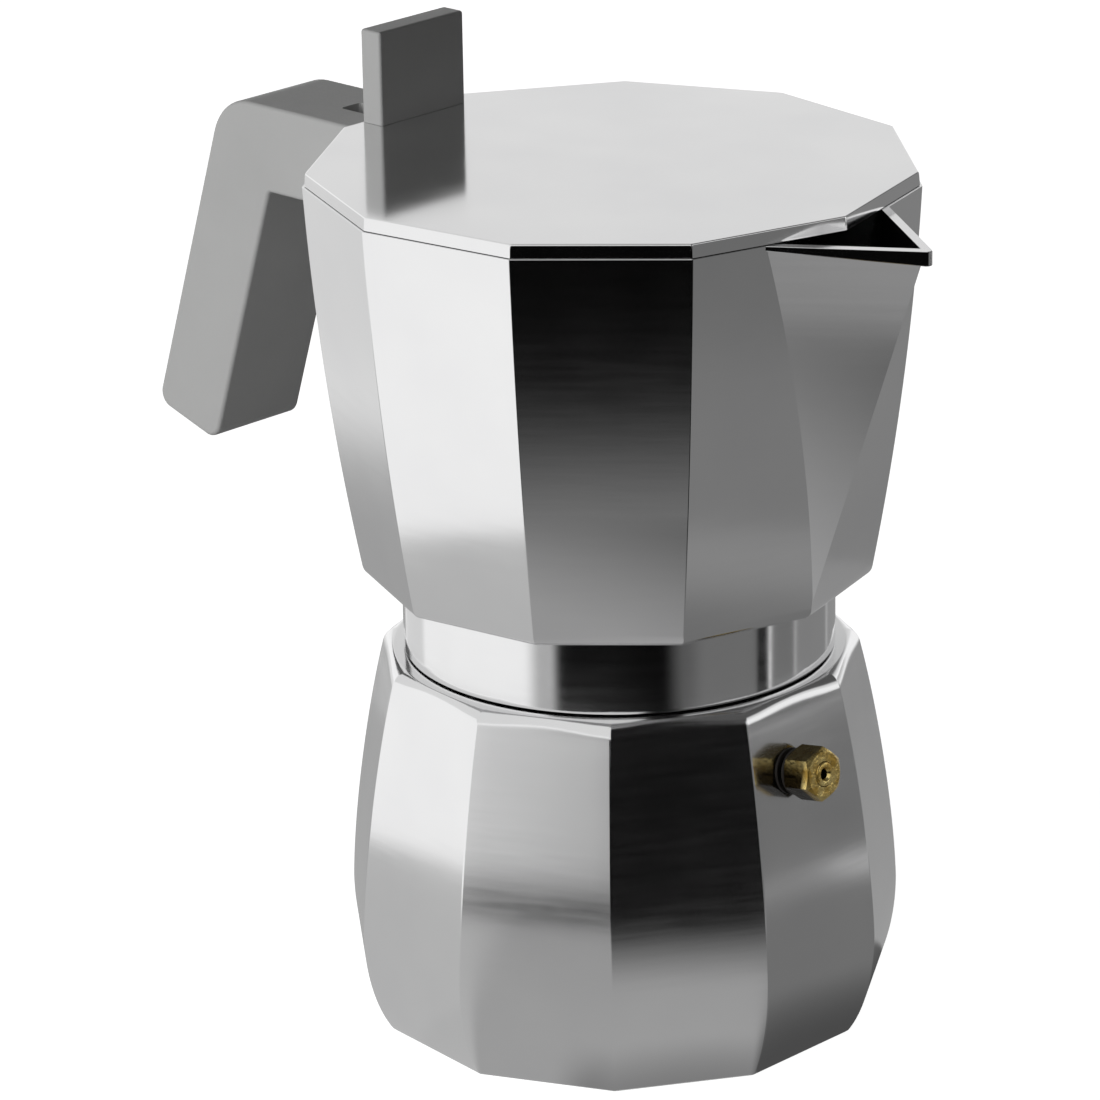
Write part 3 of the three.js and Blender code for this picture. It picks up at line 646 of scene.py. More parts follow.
def make_valve_details():
    cap_radius = VALVE_BORE - 0.1
    cap_top = VALVE_HEX_TOP + CLEARANCE
    cap = turned("valve_plug", soften([
        (VALVE_CAP_HOLE, VALVE_CAP_BOTTOM),
        (cap_radius, VALVE_CAP_BOTTOM),
        (cap_radius, cap_top, 0.35),
        (VALVE_CAP_HOLE + 0.4, cap_top, 0.15),
        (VALVE_CAP_HOLE, cap_top - 0.5),
    ], closed=True), SMALL_SIDES, closed=True)
    finished(on_valve_axis(cap), "boiler", brass, "valve_brass", "valve_cap")

    inner, outer = VALVE_SHANK_RADIUS + 0.15, VALVE_WASHER_RADIUS
    bottom, top = CLEARANCE, CLEARANCE + VALVE_WASHER_THICKNESS
    washer = turned("sealing_washer", soften([
        (inner, bottom), (outer, bottom, 0.15), (outer, top, 0.15), (inner, top),
    ], closed=True), SMALL_SIDES, closed=True)
    finished(on_valve_axis(washer), "boiler", shaded_fibre, "washer_fibre", "valve_washer")

    poppet = turned("poppet", soften([
        (POPPET_HEAD_RADIUS, POPPET_HEAD_BOTTOM, 0.2),
        (POPPET_HEAD_RADIUS, POPPET_HEAD_TOP, 0.2),
        (POPPET_HEAD_RADIUS / 2, POPPET_HEAD_TOP),
        (POPPET_HEAD_RADIUS / 2, -1.2, 0.2),
        (0.5, -1),
    ]), SMALL_SIDES)
    finished(on_valve_axis(poppet), "valve_poppet", steel, "stainless_steel", "valve_poppet")


def make_valve_spring():
    """A coil of wire from just above the poppet's head to just below the cap."""
    rings = []
    bottom, top = POPPET_HEAD_TOP + 0.5, VALVE_CAP_BOTTOM - 0.5
    wire_sides, per_turn = 8, 32
    steps = SPRING_TURNS * per_turn
    for i in range(steps + 1):
        angle = 2 * math.pi * i / per_turn
        out = Vector((math.cos(angle), math.sin(angle), 0))
        centre = out * SPRING_RADIUS + Vector((0, 0, bottom + (top - bottom) * i / steps))
        section = []
        for k in range(wire_sides):
            part = 2 * math.pi * k / wire_sides
            across = out * math.cos(part) + Vector((0, 0, math.sin(part)))
            section.append(tuple(centre + across * SPRING_WIRE_RADIUS))
        rings.append(section)
    coil = on_valve_axis(loft("coil_spring", rings))
    finished(coil, "boiler", steel, "stainless_steel", "valve_spring")
    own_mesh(coil)


# ---- Funnel and filters --------------------------------------------------------------------------


def make_funnel():
    inside = CUP_RADIUS - SHEET
    rim_bottom = CUP_RIM_TOP - SHEET
    cone_bottom = CUP_BOTTOM - 6
    cup = turned("basket", soften([
        (TUBE_RADIUS + 0.1, cone_bottom),
        (CUP_RADIUS - 1.2, CUP_BOTTOM, 2.5),
        (CUP_RADIUS, rim_bottom, 0.3),
        (CUP_RIM_RADIUS, rim_bottom, 0.35),
        (CUP_RIM_RADIUS, CUP_RIM_TOP, 0.35),
        (inside, CUP_RIM_TOP, 0.5),
        (inside - 1.2, CUP_BOTTOM + SHEET, 2),
        (TUBE_RADIUS + 0.1, cone_bottom + SHEET),
    ], closed=True), closed=True)
    finished(cup, "funnel", sheet_metal, "bright_aluminium", "funnel_cup")

    bottom, top = low("funnel_tube").z, high("funnel_tube").z
    tube = turned("riser_tube", soften([
        (TUBE_BORE, bottom, 0.15), (TUBE_RADIUS, bottom, 0.15), (TUBE_RADIUS, top), (TUBE_BORE, top),
    ], closed=True), SMALL_SIDES, closed=True)
    finished(tube, "funnel", sheet_metal, "bright_aluminium", "funnel_tube")


def make_strainers():
    for name, node, body in (
        ("basket_floor", "funnel_filter", "funnel"),
        ("strainer", "filter_plate", "filter_plate"),
    ):
        radius, bottom, top = high(node).x, low(node).z, high(node).z
        plate = disc(name, radius, bottom, top, ROUND_SIDES)
        spacing = radius / (STRAINER_HOLE_RINGS + 0.8)
        combine(plate, "DIFFERENCE", hole_field(bottom - 1, top + 1, STRAINER_HOLE_RINGS, spacing))
        finished(plate, body, sheet_metal, "bright_aluminium", node)


def hole_field(bottom, top, rings, spacing):
    """One object of many small drills, in rings of 6, 12, 18 ... round the middle one."""
    verts, faces, sides = [], [], 10
    places = [(0.0, 0.0)]
    for level in range(1, rings + 1):
        for i in range(6 * level):
            angle = 2 * math.pi * i / (6 * level)
            places.append((level * spacing * math.cos(angle), level * spacing * math.sin(angle)))
    for x, y in places:
        first = len(verts)
        for height in (bottom, top):
            edge = round_ring(STRAINER_HOLE_RADIUS, height, sides)
            verts += [(x + px, y + py, z) for px, py, z in edge]
        for k in range(sides):
            n = (k + 1) % sides
            faces.append((first + k, first + n, first + sides + n, first + sides + k))
        faces.append(tuple(first + k for k in range(sides - 1, -1, -1)))
        faces.append(tuple(first + sides + k for k in range(sides)))
    return mesh_object("drills", verts, faces)


def make_gasket():
    bottom, top = low("gasket").z, high("gasket").z
    ring = turned("seal_ring", soften([
        (GASKET_BORE, bottom, 0.4), (GASKET_RADIUS, bottom, 0.5),
        (GASKET_RADIUS, top, 0.5), (GASKET_BORE, top, 0.4),
    ], closed=True), closed=True)
    finished(ring, "gasket", silicone, "pale_rubber", "gasket")


# ---- Upper chamber -------------------------------------------------------------------------------


def chamber_outline(inset, steps=30):
    middle = (CHAMBER_BOTTOM + CHAMBER_TOP) / 2
    foot = (CHAMBER_FOOT_RADIUS - inset, CHAMBER_BOTTOM)
    bow = (CHAMBER_BOW_RADIUS - inset, middle)
    rim = (CHAMBER_RIM_RADIUS - inset, CHAMBER_TOP)
    return [foot] + bezier([foot, bow, rim], steps)


def chamber_radius(height):
    t = (height - CHAMBER_BOTTOM) / (CHAMBER_TOP - CHAMBER_BOTTOM)
    a, b, c = CHAMBER_FOOT_RADIUS, CHAMBER_BOW_RADIUS, CHAMBER_RIM_RADIUS
    return a * (1 - t) ** 2 + 2 * b * t * (1 - t) + c * t * t


def chamber_hollow():
    inside = [p for p in chamber_outline(CHAMBER_WALL) if p[1] > CHAMBER_FLOOR_TOP + 5]
    start = (inside[0][0] - 7, CHAMBER_FLOOR_TOP)
    row = [start] + bezier([start, (inside[0][0] - 1, CHAMBER_FLOOR_TOP), inside[0]], 8)
    row += inside[1:-1]
    rim = inside[-1][0]
    row += [(rim, CHAMBER_TOP - 0.3), (rim + 0.3, CHAMBER_TOP), (rim + 0.3, CHAMBER_TOP + 1)]
    return row


def beak_wedge(name, foot_x, foot_z, tip_x, root_x, root_y, top):
    return hull(name, [
        (foot_x, 0, foot_z),
        (foot_x - 12, 0, foot_z),
        (tip_x, 0, top),
        (root_x, root_y, top),
        (root_x, -root_y, top),
        (root_x - 12, root_y * 0.8, top),
        (root_x - 12, -root_y * 0.8, top),
    ])


def beak_lip():
    """The upright band round the top of the beak: it is deepest and stands out most at the tip."""
    root_x, root_y = BEAK_ROOT_X - 0.1, BEAK_ROOT_Y + 0.2
    growth = (BEAK_LIP_HEIGHT - BEAK_LIP_ROOT_HEIGHT) / (BEAK_LIP_TIP - root_x)

    def bottom(x):
        return CHAMBER_TOP - BEAK_LIP_ROOT_HEIGHT - growth * max(0, x - root_x)

    rings = []
    rounding = ((0.15, 0, None), (0, 0.15, None), (0, None, 0.06), (0.06, None, 0))
    for inset, above_bottom, below_top in rounding:
        outline = soften([
            (BEAK_ROOT_X - 12, -BEAK_ROOT_Y * 0.8),
            (root_x, -root_y + inset),
            (BEAK_LIP_TIP - inset * 1.5 + 0.55, 0, 0.9),
            (root_x, root_y - inset),
            (BEAK_ROOT_X - 12, BEAK_ROOT_Y * 0.8),
        ], closed=True)
        if below_top is None:
            rings.append([(x, y, bottom(x) + above_bottom) for x, y in outline])
        else:
            rings.append([(x, y, CHAMBER_TOP - below_top) for x, y in outline])
    return loft("lip", rings)


def round_hinge(start, turn, steps):
    """Points on the knuckle's circle round the hinge, from one angle through a turn."""
    row = []
    for i in range(steps + 1):
        angle = start + turn * i / steps
        x = HINGE.x + KNUCKLE_RADIUS * math.cos(angle)
        z = HINGE.z + KNUCKLE_RADIUS * math.sin(angle)
        row.append((x, z))
    return row


def rear_lug():
    root = -(chamber_radius(LUG_BOTTOM) - CHAMBER_WALL + 0.6) * APOTHEM
    ears = [(root, LUG_BOTTOM), (root, HINGE.z + KNUCKLE_RADIUS)]
    ears += round_hinge(math.pi / 2, math.pi / 2, 12)
    ears += [(HINGE.x - KNUCKLE_RADIUS, LUG_TOP), (LUG_END, LUG_TOP), (LUG_END, LUG_BOTTOM)]
    lug = prism("lug", ears, LUG_WIDTH)
    gap = TONGUE_WIDTH / 2 + CLEARANCE
    wall_face = -(CHAMBER_RIM_RADIUS + 0.05) * APOTHEM
    slot = block("slot", (LUG_END - 5, wall_face), (-gap, gap), (LUG_TOP, LID_TOP))
    return combine(lug, "DIFFERENCE", slot)


def cross_bar(name, radius, x, z, width):
    outline = [(x + radius * math.cos(a), z + radius * math.sin(a))
               for a in (2 * math.pi * k / SMALL_SIDES for k in range(SMALL_SIDES))]
    return prism(name, outline, width)


def make_chamber():
    foot_top = CHAMBER_BOTTOM + CHAMBER_FOOT_ROUND
    foot_edge = (CHAMBER_FOOT_RADIUS - CHAMBER_FOOT_ROUND, CHAMBER_BOTTOM)
    foot_corner = (CHAMBER_FOOT_RADIUS, CHAMBER_BOTTOM)
    body = faceted("chamber_body", [
        foot_edge,
        *bezier([foot_edge, foot_corner, (chamber_radius(foot_top), foot_top)], 8),
        *[point for point in chamber_outline(0)[:-1] if point[1] > foot_top + 0.5],
        (CHAMBER_RIM_RADIUS - 0.01, CHAMBER_TOP - 0.06),
        (CHAMBER_RIM_RADIUS - 0.05, CHAMBER_TOP),
    ])
    collar = turned("collar", [
        (COLLAR_RADIUS - 0.5, COLLAR_BOTTOM),
        (COLLAR_RADIUS - 0.12, COLLAR_BOTTOM + 0.15),
        (COLLAR_RADIUS, COLLAR_BOTTOM + 0.5),
        (COLLAR_RADIUS, CHAMBER_BOTTOM + 1),
    ])
    beak = beak_wedge(
        "beak", CHAMBER_FOOT_RADIUS, foot_top, BEAK_TIP, BEAK_ROOT_X, BEAK_ROOT_Y, CHAMBER_TOP,
    )
    combine(body, "UNION", collar, beak, beak_lip(), rear_lug())
    pouring = beak_wedge(
        "pouring", CHAMBER_FOOT_RADIUS - 4, CHAMBER_FLOOR_TOP + 2,
        BEAK_INNER_TIP, BEAK_ROOT_X - 2.4, BEAK_ROOT_Y, CHAMBER_TOP + 1,
    )
    bore = turned("bore", [
        (COLLAR_BORE + 0.5, COLLAR_BOTTOM - 1),
        (COLLAR_BORE + 0.5, COLLAR_BOTTOM),
        (COLLAR_BORE, COLLAR_BOTTOM + 0.5),
        (COLLAR_BORE, GASKET_SEAT),
    ])
    recess_radius = GASKET_BORE - 2.2
    recess = turned("recess", [
        (recess_radius, GASKET_SEAT - 1),
        (recess_radius, GASKET_SEAT),
        (COLUMN_SPIGOT_RADIUS + 2, GASKET_SEAT + 2),
    ])
    column_hole = disc("column_hole", COLUMN_SPIGOT_RADIUS + 0.1, GASKET_SEAT - 1, CHAMBER_FLOOR_TOP + 1)
    pin_hole = cross_bar("pin_hole", PIN_RADIUS + 0.05, HINGE.x, HINGE.z, LUG_WIDTH + 2)
    screw_hole = disc("screw_hole", HANDLE_SCREW_RADIUS + 0.15, LUG_BOTTOM - 1, LUG_TOP + 1)
    screw_hole.data.transform(Matrix.Translation((HANDLE_SCREW_X, 0, 0)))
    hollow = faceted("hollow", chamber_hollow())
    combine(body, "DIFFERENCE", hollow, pouring, bore, recess, column_hole, pin_hole, screw_hole)
    inner_thread = helix_ridge("inner_thread", COLLAR_BORE, -0.3, COLLAR_BOTTOM + 2.2, 2.2)
    combine(body, "UNION", inner_thread)
    finished(body, "upper_chamber", chamber_metal, "satin_aluminium", "upper_chamber")


def make_column():
    foot = CHAMBER_FLOOR_TOP + CLEARANCE
    bottom, top = low("coffee_column").z, high("coffee_column").z
    column = turned("riser_column", [
        (COLUMN_SPIGOT_RADIUS, bottom),
        (COLUMN_SPIGOT_RADIUS, foot),
        *soften([
            (COLUMN_BASE_RADIUS, foot),
            (COLUMN_BASE_RADIUS, foot + 2, 0.5),
            (COLUMN_BASE_RADIUS - 1.4, foot + 4, 1.5),
            (COLUMN_TOP_RADIUS, top - 4, 3),
            (COLUMN_TOP_RADIUS - 1.6, top - 1, 1.2),
            (0.3, top),
        ]),
    ], 64)
    bore = disc("bore", COLUMN_BORE, bottom - 1, top - 5)
    half = COLUMN_BASE_RADIUS - 1
    outlets = block("outlets", (-half, half), (-OUTLET_WIDTH / 2, OUTLET_WIDTH / 2), (top - 13, top - 7))
    combine(column, "DIFFERENCE", bore, outlets)
    finished(column, "upper_chamber", sheet_metal, "bright_aluminium", "coffee_column")


# ---- Lid, knob and hinge -------------------------------------------------------------------------


def hinge_tongue():
    outline = [
        (KNOB_BACK + 3, LID_BOTTOM + 0.1),
        (KNOB_BACK + 3, LID_TOP - 0.3),
        (KNOB_BACK - 0.8, LID_TOP - 0.5),
        *round_hinge(math.pi / 2, (5 / 4) * math.pi, 24),
        (-(chamber_radius(CHAMBER_TOP) + 1) * APOTHEM, LID_BOTTOM + 0.1),
    ]
    return bevelled(prism("tongue", outline, TONGUE_WIDTH), 0.25, 2, 50)


def make_lid():
    plate = faceted("lid_plate", [
        (LID_EDGE_RADIUS - 0.06, LID_BOTTOM),
        (LID_EDGE_RADIUS - 0.01, LID_BOTTOM + 0.06),
        (LID_EDGE_RADIUS - 0.05, LID_BOTTOM + 0.3),
        (LID_TOP_RADIUS + 0.22, LID_TOP - 0.35),
        (LID_TOP_RADIUS + 0.12, LID_TOP - 0.1),
        (LID_TOP_RADIUS - 0.15, LID_TOP),
    ], 0.0, 0.9)
    combine(plate, "UNION", hinge_tongue())
    pin_hole = cross_bar("pin_hole", PIN_RADIUS + 0.05, HINGE.x, HINGE.z, TONGUE_WIDTH + 2)
    recess = faceted("recess", [
        (LID_RECESS_RADIUS, LID_BOTTOM - 1),
        (LID_RECESS_RADIUS, LID_BOTTOM),
        (LID_RECESS_RADIUS - 0.6, LID_BOTTOM + 0.6),
    ])
    combine(plate, "DIFFERENCE", pin_hole, recess)
    for y in KNOB_SCREWS.values():
        seat = turned("seat", [
            (KNOB_SCREW_HEAD + 0.25, LID_BOTTOM - 0.5),
            (KNOB_SCREW_HEAD + 0.25, LID_BOTTOM + 0.4),
            (KNOB_SCREW_RADIUS + 0.15, LID_BOTTOM + 1.6),
            (KNOB_SCREW_RADIUS + 0.15, LID_TOP + 1),
        ], SMALL_SIDES)
        seat.data.transform(Matrix.Translation((KNOB_MIDDLE, y, 0)))
        combine(plate, "DIFFERENCE", seat)
    finished(plate, "lid", lid_metal, "satin_aluminium", "lid")


def make_knob():
    bottom, top = low("knob").z, high("knob").z
    width = high("knob").y - low("knob").y
    foot = LID_TOP + 0.03
    tab = block("lid_tab", (KNOB_BACK, KNOB_FRONT), (-width / 2, width / 2), (foot - 3, top))
    knob = bevelled(tab, KNOB_EDGE_ROUND, 4)
    below = block("below", (KNOB_BACK - 1, KNOB_FRONT + 1), (-width, width), (foot - 5, foot))
    combine(knob, "DIFFERENCE", below)
    pilot_top = high("knob_screw_left").z + 0.5
    for y in KNOB_SCREWS.values():
        pilot = disc("pilot", KNOB_SCREW_RADIUS + 0.1, bottom - 1, pilot_top)
        pilot.data.transform(Matrix.Translation((KNOB_MIDDLE, y, 0)))
        combine(knob, "DIFFERENCE", pilot)
    finished(knob, "lid", plastic, "grey_plastic", "knob")


def make_knob_screws():
    for side, y in KNOB_SCREWS.items():
        node = f"knob_screw_{side}"
        head, end = low(node).z, high(node).z
        screw = turned(f"tab_screw_{side}", [
            (KNOB_SCREW_HEAD, head),
            (KNOB_SCREW_HEAD, head + 0.2),
            (KNOB_SCREW_RADIUS, head + 1.3),
            (KNOB_SCREW_RADIUS, end - 1),
            (0.3, end),
        ], SMALL_SIDES)
        for angle in (0, math.pi / 2):
            drive = block("drive", (-1.3, 1.3), (-0.3, 0.3), (head - 1, head + 0.9))
            drive.data.transform(Matrix.Rotation(angle, 4, "Z"))
            combine(screw, "DIFFERENCE", drive)
        screw.data.transform(Matrix.Translation((KNOB_MIDDLE, y, 0)))
        finished(screw, "lid", steel, "stainless_steel", node)


def make_pin():
    width = high("hinge_pin").y - low("hinge_pin").y
    pin = bevelled(cross_bar("pivot_pin", PIN_RADIUS, HINGE.x, HINGE.z, width), 0.2, 2)
    finished(pin, "upper_chamber", steel, "stainless_steel", "hinge_pin")


# ---- Handle --------------------------------------------------------------------------------------


def handle_outline():
    down = Vector((-math.sin(LEG_SLANT), -math.cos(LEG_SLANT)))
    across = Vector((math.cos(LEG_SLANT), -math.sin(LEG_SLANT)))
    corner = Vector((HANDLE_CORNER_X, ARM_TOP))
    arm_bottom = ARM_TOP - ARM_THICKNESS
    back_end = corner + down * LEG_LENGTH
    front_end = back_end + across * ARM_THICKNESS
    crook = front_end - down * ((arm_bottom - front_end.y) / -down.y)

    def face(height):
        return -(chamber_radius(min(height, CHAMBER_TOP)) * APOTHEM + CLEARANCE)

    return soften([
        (face(arm_bottom), arm_bottom),
        (face(ARM_TOP), ARM_TOP),
        (*corner, HANDLE_CORNER_ROUND),
        (*back_end, LEG_END_ROUND),
        (*front_end, LEG_END_ROUND),
        (*crook, 0.8),
    ], closed=True, steps=12)


def make_handle():
    grip = bevelled(prism("grip", handle_outline(), HANDLE_WIDTH), HANDLE_EDGE_ROUND, 4)
    pocket = LUG_WIDTH / 2 + CLEARANCE
    slot = TONGUE_WIDTH / 2 + 0.5
    front = -40
    arm_bottom = ARM_TOP - ARM_THICKNESS
    well = turned("well", [
        (HANDLE_SCREW_HEAD + 0.5, arm_bottom - 1),
        (HANDLE_SCREW_HEAD + 0.5, arm_bottom + 2.6),
        (HANDLE_SCREW_RADIUS + 0.3, arm_bottom + 2.6),
        (HANDLE_SCREW_RADIUS + 0.3, LUG_BOTTOM),
    ], SMALL_SIDES)
    well.data.transform(Matrix.Translation((HANDLE_SCREW_X, 0, 0)))
    lug_heights = (LUG_BOTTOM - CLEARANCE, LUG_TOP + CLEARANCE)
    ear_heights = (LUG_TOP, HINGE.z + KNUCKLE_RADIUS + CLEARANCE)
    combine(
        grip, "DIFFERENCE",
        block("lug_pocket", (LUG_END - CLEARANCE, front), (-pocket, pocket), lug_heights),
        block("ear_pocket", (SLOT_END, front), (-pocket, pocket), ear_heights),
        bevelled(block("slot", (SLOT_END, front), (-slot, slot), (LUG_TOP, ARM_TOP + 5)), 0.8, 3, 80),
        well,
    )
    finished(grip, "upper_chamber", plastic, "grey_plastic", "handle")


def make_handle_screw():
    seat = ARM_TOP - ARM_THICKNESS + 1.6
    screw = turned("fixing_screw", soften([
        (HANDLE_SCREW_HEAD, seat - 1.5, 0.6),
        (HANDLE_SCREW_HEAD, seat),
        (HANDLE_SCREW_RADIUS, seat),
        (HANDLE_SCREW_RADIUS, LUG_TOP, 0.3),
        (HANDLE_SCREW_RADIUS - 0.7, LUG_TOP),
    ]), SMALL_SIDES)
    drive = block("drive", (-0.5, 0.5), (-5, 5), (seat - 2, seat - 0.9))
    combine(screw, "DIFFERENCE", drive)
    screw.data.transform(Matrix.Translation((HANDLE_SCREW_X, 0, 0)))
    finished(screw, "upper_chamber", steel, "stainless_steel", "handle_screw")

    bottom, top = low("handle_washer").z, high("handle_washer").z
    inner, outer = HANDLE_SCREW_RADIUS + 0.15, HANDLE_SCREW_HEAD + 0.3
    washer = turned("fixing_washer", soften([
        (inner, bottom), (outer, bottom, 0.2), (outer, top, 0.2), (inner, top),
    ], closed=True), SMALL_SIDES, closed=True)
    washer.data.transform(Matrix.Translation((HANDLE_SCREW_X, 0, 0)))
    finished(washer, "upper_chamber", steel, "stainless_steel", "handle_washer")


make_boiler()
make_valve_body()
make_valve_details()
make_valve_spring()
make_funnel()
make_strainers()
make_gasket()
make_chamber()
make_column()
make_lid()
make_knob()
make_knob_screws()
make_pin()
make_handle()
make_handle_screw()

# ---- Studio --------------------------------------------------------------------------------------

# What the metal reflects: pale walls, with black screens in front and grey ones round about. Each screen
# has a range of azimuth and of elevation (degrees), the level that it shows in the metal (0 to 255) and
# the softness of its edges (degrees). Later ones lie over earlier ones.
WALL_LEVEL = 236
SCREENS = (
    ((-180, 180), (13, 90), 211, (1, 4)),
    ((-16, 135), (22, 90), 78, (10, 8)),
    ((125, 210), (-60, -22.4), 152, (6, 1.6)),
    ((155, 185), (-22.4, -10), 205, (6, 4)),
    ((118, 153), (-24, -8), 150, (3, 4)),
    ((-16, 32), (-60, 12), 104, (3, 4)),
    ((-16, 32), (-60, -26), 116, (3, 4)),
    ((32, 60), (-60, -1), 104, (2, 4)),
    ((60, 98), (-60, 5), 122, (6, 4)),
    ((98, 125), (-60, -12), 134, (6, 4)),
    ((-83.2, -40), (-95, 8), 3, (8, 6)),
    ((-72, -13.5), (-95, 9), 4, (2, 6)),
    ((-34, -13.5), (0, 62), 6, (2, 6)),
    ((-66, -38), (-90, -34), 139, (10, 12)),
    ((-87, -60), (-16, -9), 0, (4, 1.5)),
    ((-94, -82), (-24, -15.5), 165, (10, 2)),
    ((-18, -6), (-24, -15.5), 84, (12, 2)),
    ((31, 39), (-30, -14), 8, (1.2, 4)),
    ((39.4, 41.2), (-30, -14), 235, (0.8, 4)),
)

# The table top near the pot, laid over in the same way by azimuth (degrees) and distance from the pot's
# axis (metres). Between the two angles of TABLE_FRONT it also darkens with distance, in one direction.
TABLE_RADIUS = 0.198
TABLE_HEIGHT = 0.0004
TABLE_LEVEL = 175
TABLE_PARTS = (
    ((-16, 36), (0, 1), 113, (3, 1)),
    ((-16, 60), (0, 0.165), 108, (3, 0.03)),
    ((60, 98), (0, 1), 120, (6, 1)),
    ((98, 125), (0, 1), 130, (6, 1)),
    ((125, 210), (0, 1), 145, (6, 1)),
    ((-104, -81), (0, 1), 168, (8, 1)),
    ((-82, -15.5), (0, 1), 134, (2, 1)),
    ((-60, 20), (0, 0.050), 118, (12, 0.02)),
    ((-16, 60), (0, 0.060), 72, (3, 0.03)),
)
TABLE_FRONT = (-82, -16)
TABLE_SHADE_DIRECTION = math.radians(-8)
TABLE_SHADE_START = 0.105
TABLE_SHADE_END = 0.185
METAL_REFLECTANCE = 0.83

FLOOR_REACH = 6
FLOOR_GLOW = 0.97

# Lamps: place and target in metres, side of the square in metres and power in watts.
POT_MIDDLE = (0, 0, 0.1)
LAMPS = {
    "key": ((-0.25, -1.7, 0.55), POT_MIDDLE, 1.0, 29),
    "back": ((-1.0, 1.5, 0.15), POT_MIDDLE, 1.0, 20),
    "bounce": ((-0.05, -0.3, 0.01), (-0.05, -0.3, 1), 0.4, 0.35),
}

# The camera stands far off with a long lens; its axes are unit vectors.
SENSOR_WIDTH = 36
CAMERA_LENS = 192.3
CAMERA_SHIFT = (-0.0457, -0.0008)
CAMERA_PLACE = (0.684, -0.7239, 0.4382)
CAMERA_RIGHT = (0.7279, 0.6855, -0.0139)
CAMERA_UP = (-0.2189, 0.2515, 0.9428)
CAMERA_BACK = (0.6498, -0.6832, 0.3332)


def shown_level(level):
    """The light that shows as this level (0 to 255) after one reflection in the metal."""
    return ((level / 255 + 0.055) / 1.055) ** 2.4 / METAL_REFLECTANCE


class Light(Nodes):
    """Nodes that work out how bright a wall or table top is."""

    def azimuth(self, x, y):
        return self.math("DEGREES", self.math("ARCTAN2", y, x))

    def within(self, value, ends, soft):
        """1 between the two ends and 0 outside, with a soft step at each."""
        half = (ends[1] - ends[0]) / 2
        return self.spread(value, 1, 0, half - soft / 2, half + soft / 2, "SMOOTHSTEP")

    def patched(self, azimuth, other, level, patches):
        """A level everywhere, with patches laid over it in turn."""
        tone = shown_level(level)
        for angles, ends, patch_level, (soft_angle, soft_end) in patches:
            turned_by = self.math("SUBTRACT", azimuth, sum(angles) / 2)
            away = self.math("ABSOLUTE", self.math("WRAP", turned_by, 180, -180))
            offset = self.math("ABSOLUTE", self.math("SUBTRACT", other, sum(ends) / 2))
            share = self.math(
                "MULTIPLY", self.within(away, angles, soft_angle), self.within(offset, ends, soft_end),
            )
            inputs = {0: share, 2: tone, 3: shown_level(patch_level)}
            tone = self.add("ShaderNodeMix", inputs).outputs[0]
        return tone


def make_walls():
    world = bpy.data.worlds.new("studio")
    bpy.context.scene.world = world
    world.use_nodes = True
    world.cycles_visibility.diffuse = False
    n = Light(world.node_tree)
    direction = n.add("ShaderNodeTexCoord").outputs["Generated"]
    split = n.add("ShaderNodeSeparateXYZ", {"Vector": direction}).outputs
    elevation = n.math("DEGREES", n.math("ARCSINE", split["Z"]))
    tone = n.patched(n.azimuth(split["X"], split["Y"]), elevation, WALL_LEVEL, SCREENS)
    seen_directly = n.add("ShaderNodeLightPath").outputs["Is Camera Ray"]
    tone = n.add("ShaderNodeMix", {0: seen_directly, 2: tone, 3: 1.0}).outputs[0]
    background = world.node_tree.nodes["Background"]
    background.inputs["Color"].default_value = (1, 1, 1, 1)
    world.node_tree.links.new(tone, background.inputs["Strength"])


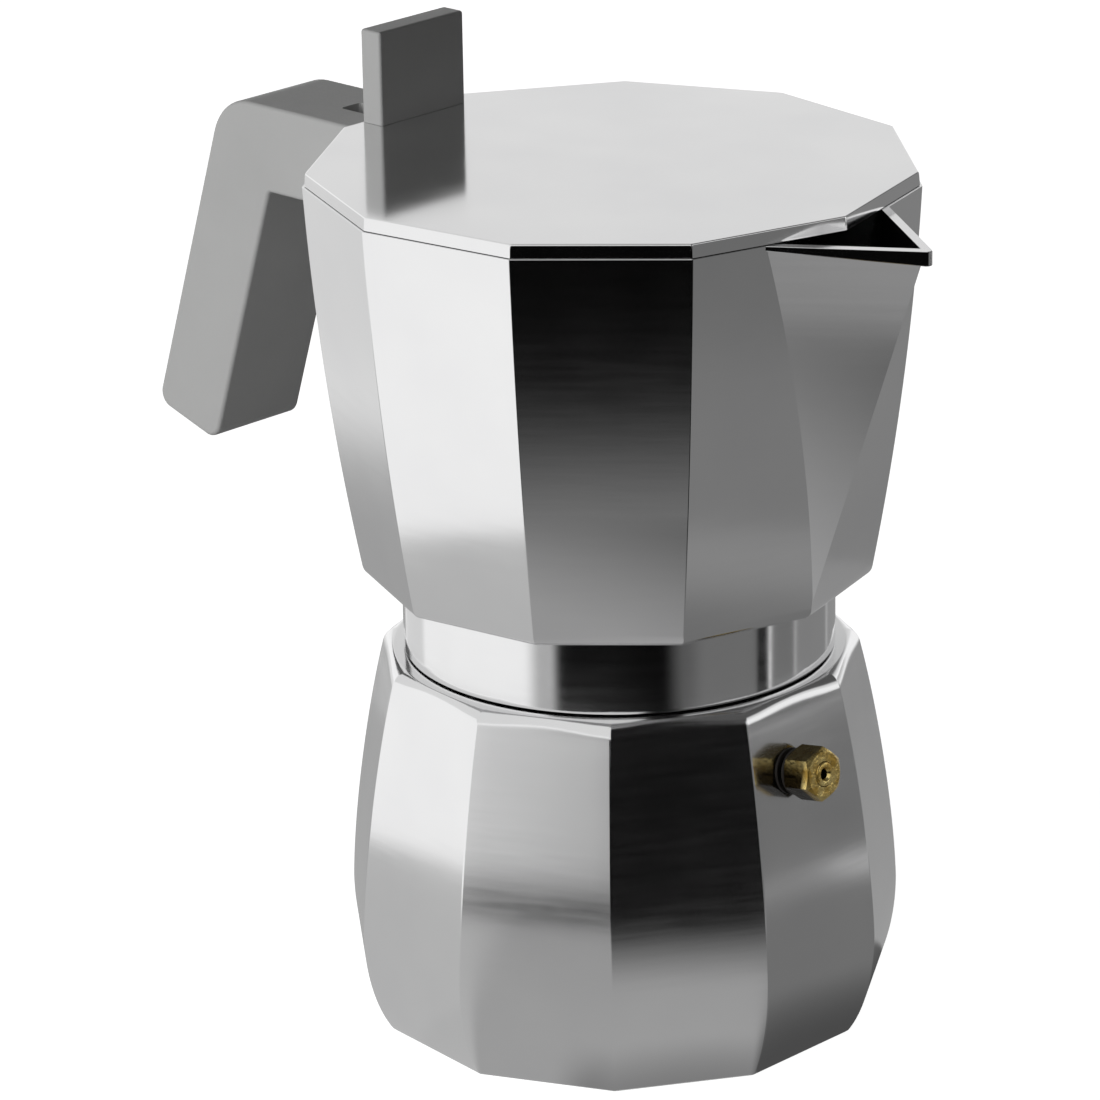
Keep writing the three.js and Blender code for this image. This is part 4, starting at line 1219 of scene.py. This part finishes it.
def make_table():
    """The floor that the camera sees, and the lit table top that only the metal sees."""
    far = FLOOR_REACH
    corners = [(-far, -far, 0), (far, -far, 0), (far, far, 0), (-far, far, 0)]
    floor = mesh_object("floor", corners, [(0, 1, 2, 3)])
    paper = Finish("floor_paper")
    paper.set(Base_Color=(0.3, 0.3, 0.3, 1), Roughness=0.9)
    paper.set(Emission_Color=(1, 1, 1, 1), Emission_Strength=FLOOR_GLOW)
    floor.data.materials.append(paper.material)
    floor.visible_glossy = False
    floor.visible_diffuse = False

    edge = round_ring(TABLE_RADIUS, TABLE_HEIGHT, ROUND_SIDES)
    top = mesh_object("table_top", edge, [tuple(range(ROUND_SIDES))])
    material = bpy.data.materials.new("table_top")
    material.use_nodes = True
    n = Light(material.node_tree)
    n.tree.nodes.clear()
    place = n.add("ShaderNodeNewGeometry").outputs["Position"]
    split = n.add("ShaderNodeSeparateXYZ", {"Vector": place}).outputs
    distance = n.add("ShaderNodeVectorMath", {0: place}, operation="LENGTH").outputs["Value"]
    azimuth = n.azimuth(split["X"], split["Y"])
    tone = n.patched(azimuth, distance, TABLE_LEVEL, TABLE_PARTS)
    along = n.math(
        "ADD",
        n.math("MULTIPLY", split["X"], math.cos(TABLE_SHADE_DIRECTION)),
        n.math("MULTIPLY", split["Y"], math.sin(TABLE_SHADE_DIRECTION)),
    )
    shaded = n.spread(along, 1, 0, TABLE_SHADE_START, TABLE_SHADE_END)
    from_middle = n.math("SUBTRACT", azimuth, sum(TABLE_FRONT) / 2)
    front = n.within(n.math("ABSOLUTE", from_middle), TABLE_FRONT, 2)
    kept = n.add("ShaderNodeMix", {0: front, 2: 1.0, 3: shaded}).outputs[0]
    light = n.add("ShaderNodeEmission", {"Strength": n.math("MULTIPLY", tone, kept)})
    n.add("ShaderNodeOutputMaterial", {"Surface": light.outputs[0]})
    top.data.materials.append(material)
    top.visible_camera = False
    top.visible_diffuse = False
    top.visible_shadow = False


def area_light(name, place, target, size, power):
    data = bpy.data.lights.new(name, "AREA")
    data.shape = "SQUARE"
    data.size = size
    data.energy = power
    lamp = bpy.data.objects.new(name, data)
    lamp.location = place
    lamp.rotation_euler = (Vector(target) - Vector(place)).to_track_quat("-Z", "Y").to_euler()
    lamp.visible_glossy = False
    lamp.visible_camera = False
    bpy.context.collection.objects.link(lamp)


def make_camera():
    data = bpy.data.cameras.new("camera")
    data.sensor_width = SENSOR_WIDTH
    data.lens = CAMERA_LENS
    data.shift_x, data.shift_y = CAMERA_SHIFT
    data.clip_start = 0.05
    camera = bpy.data.objects.new("camera", data)
    axes = Matrix((CAMERA_RIGHT, CAMERA_UP, CAMERA_BACK)).transposed().to_4x4()
    camera.matrix_world = Matrix.Translation(CAMERA_PLACE) @ axes
    bpy.context.collection.objects.link(camera)
    bpy.context.scene.camera = camera


make_walls()
make_table()
for name, (place, target, size, power) in LAMPS.items():
    area_light(name, place, target, size, power)
make_camera()
bpy.context.scene.view_settings.view_transform = "Standard"
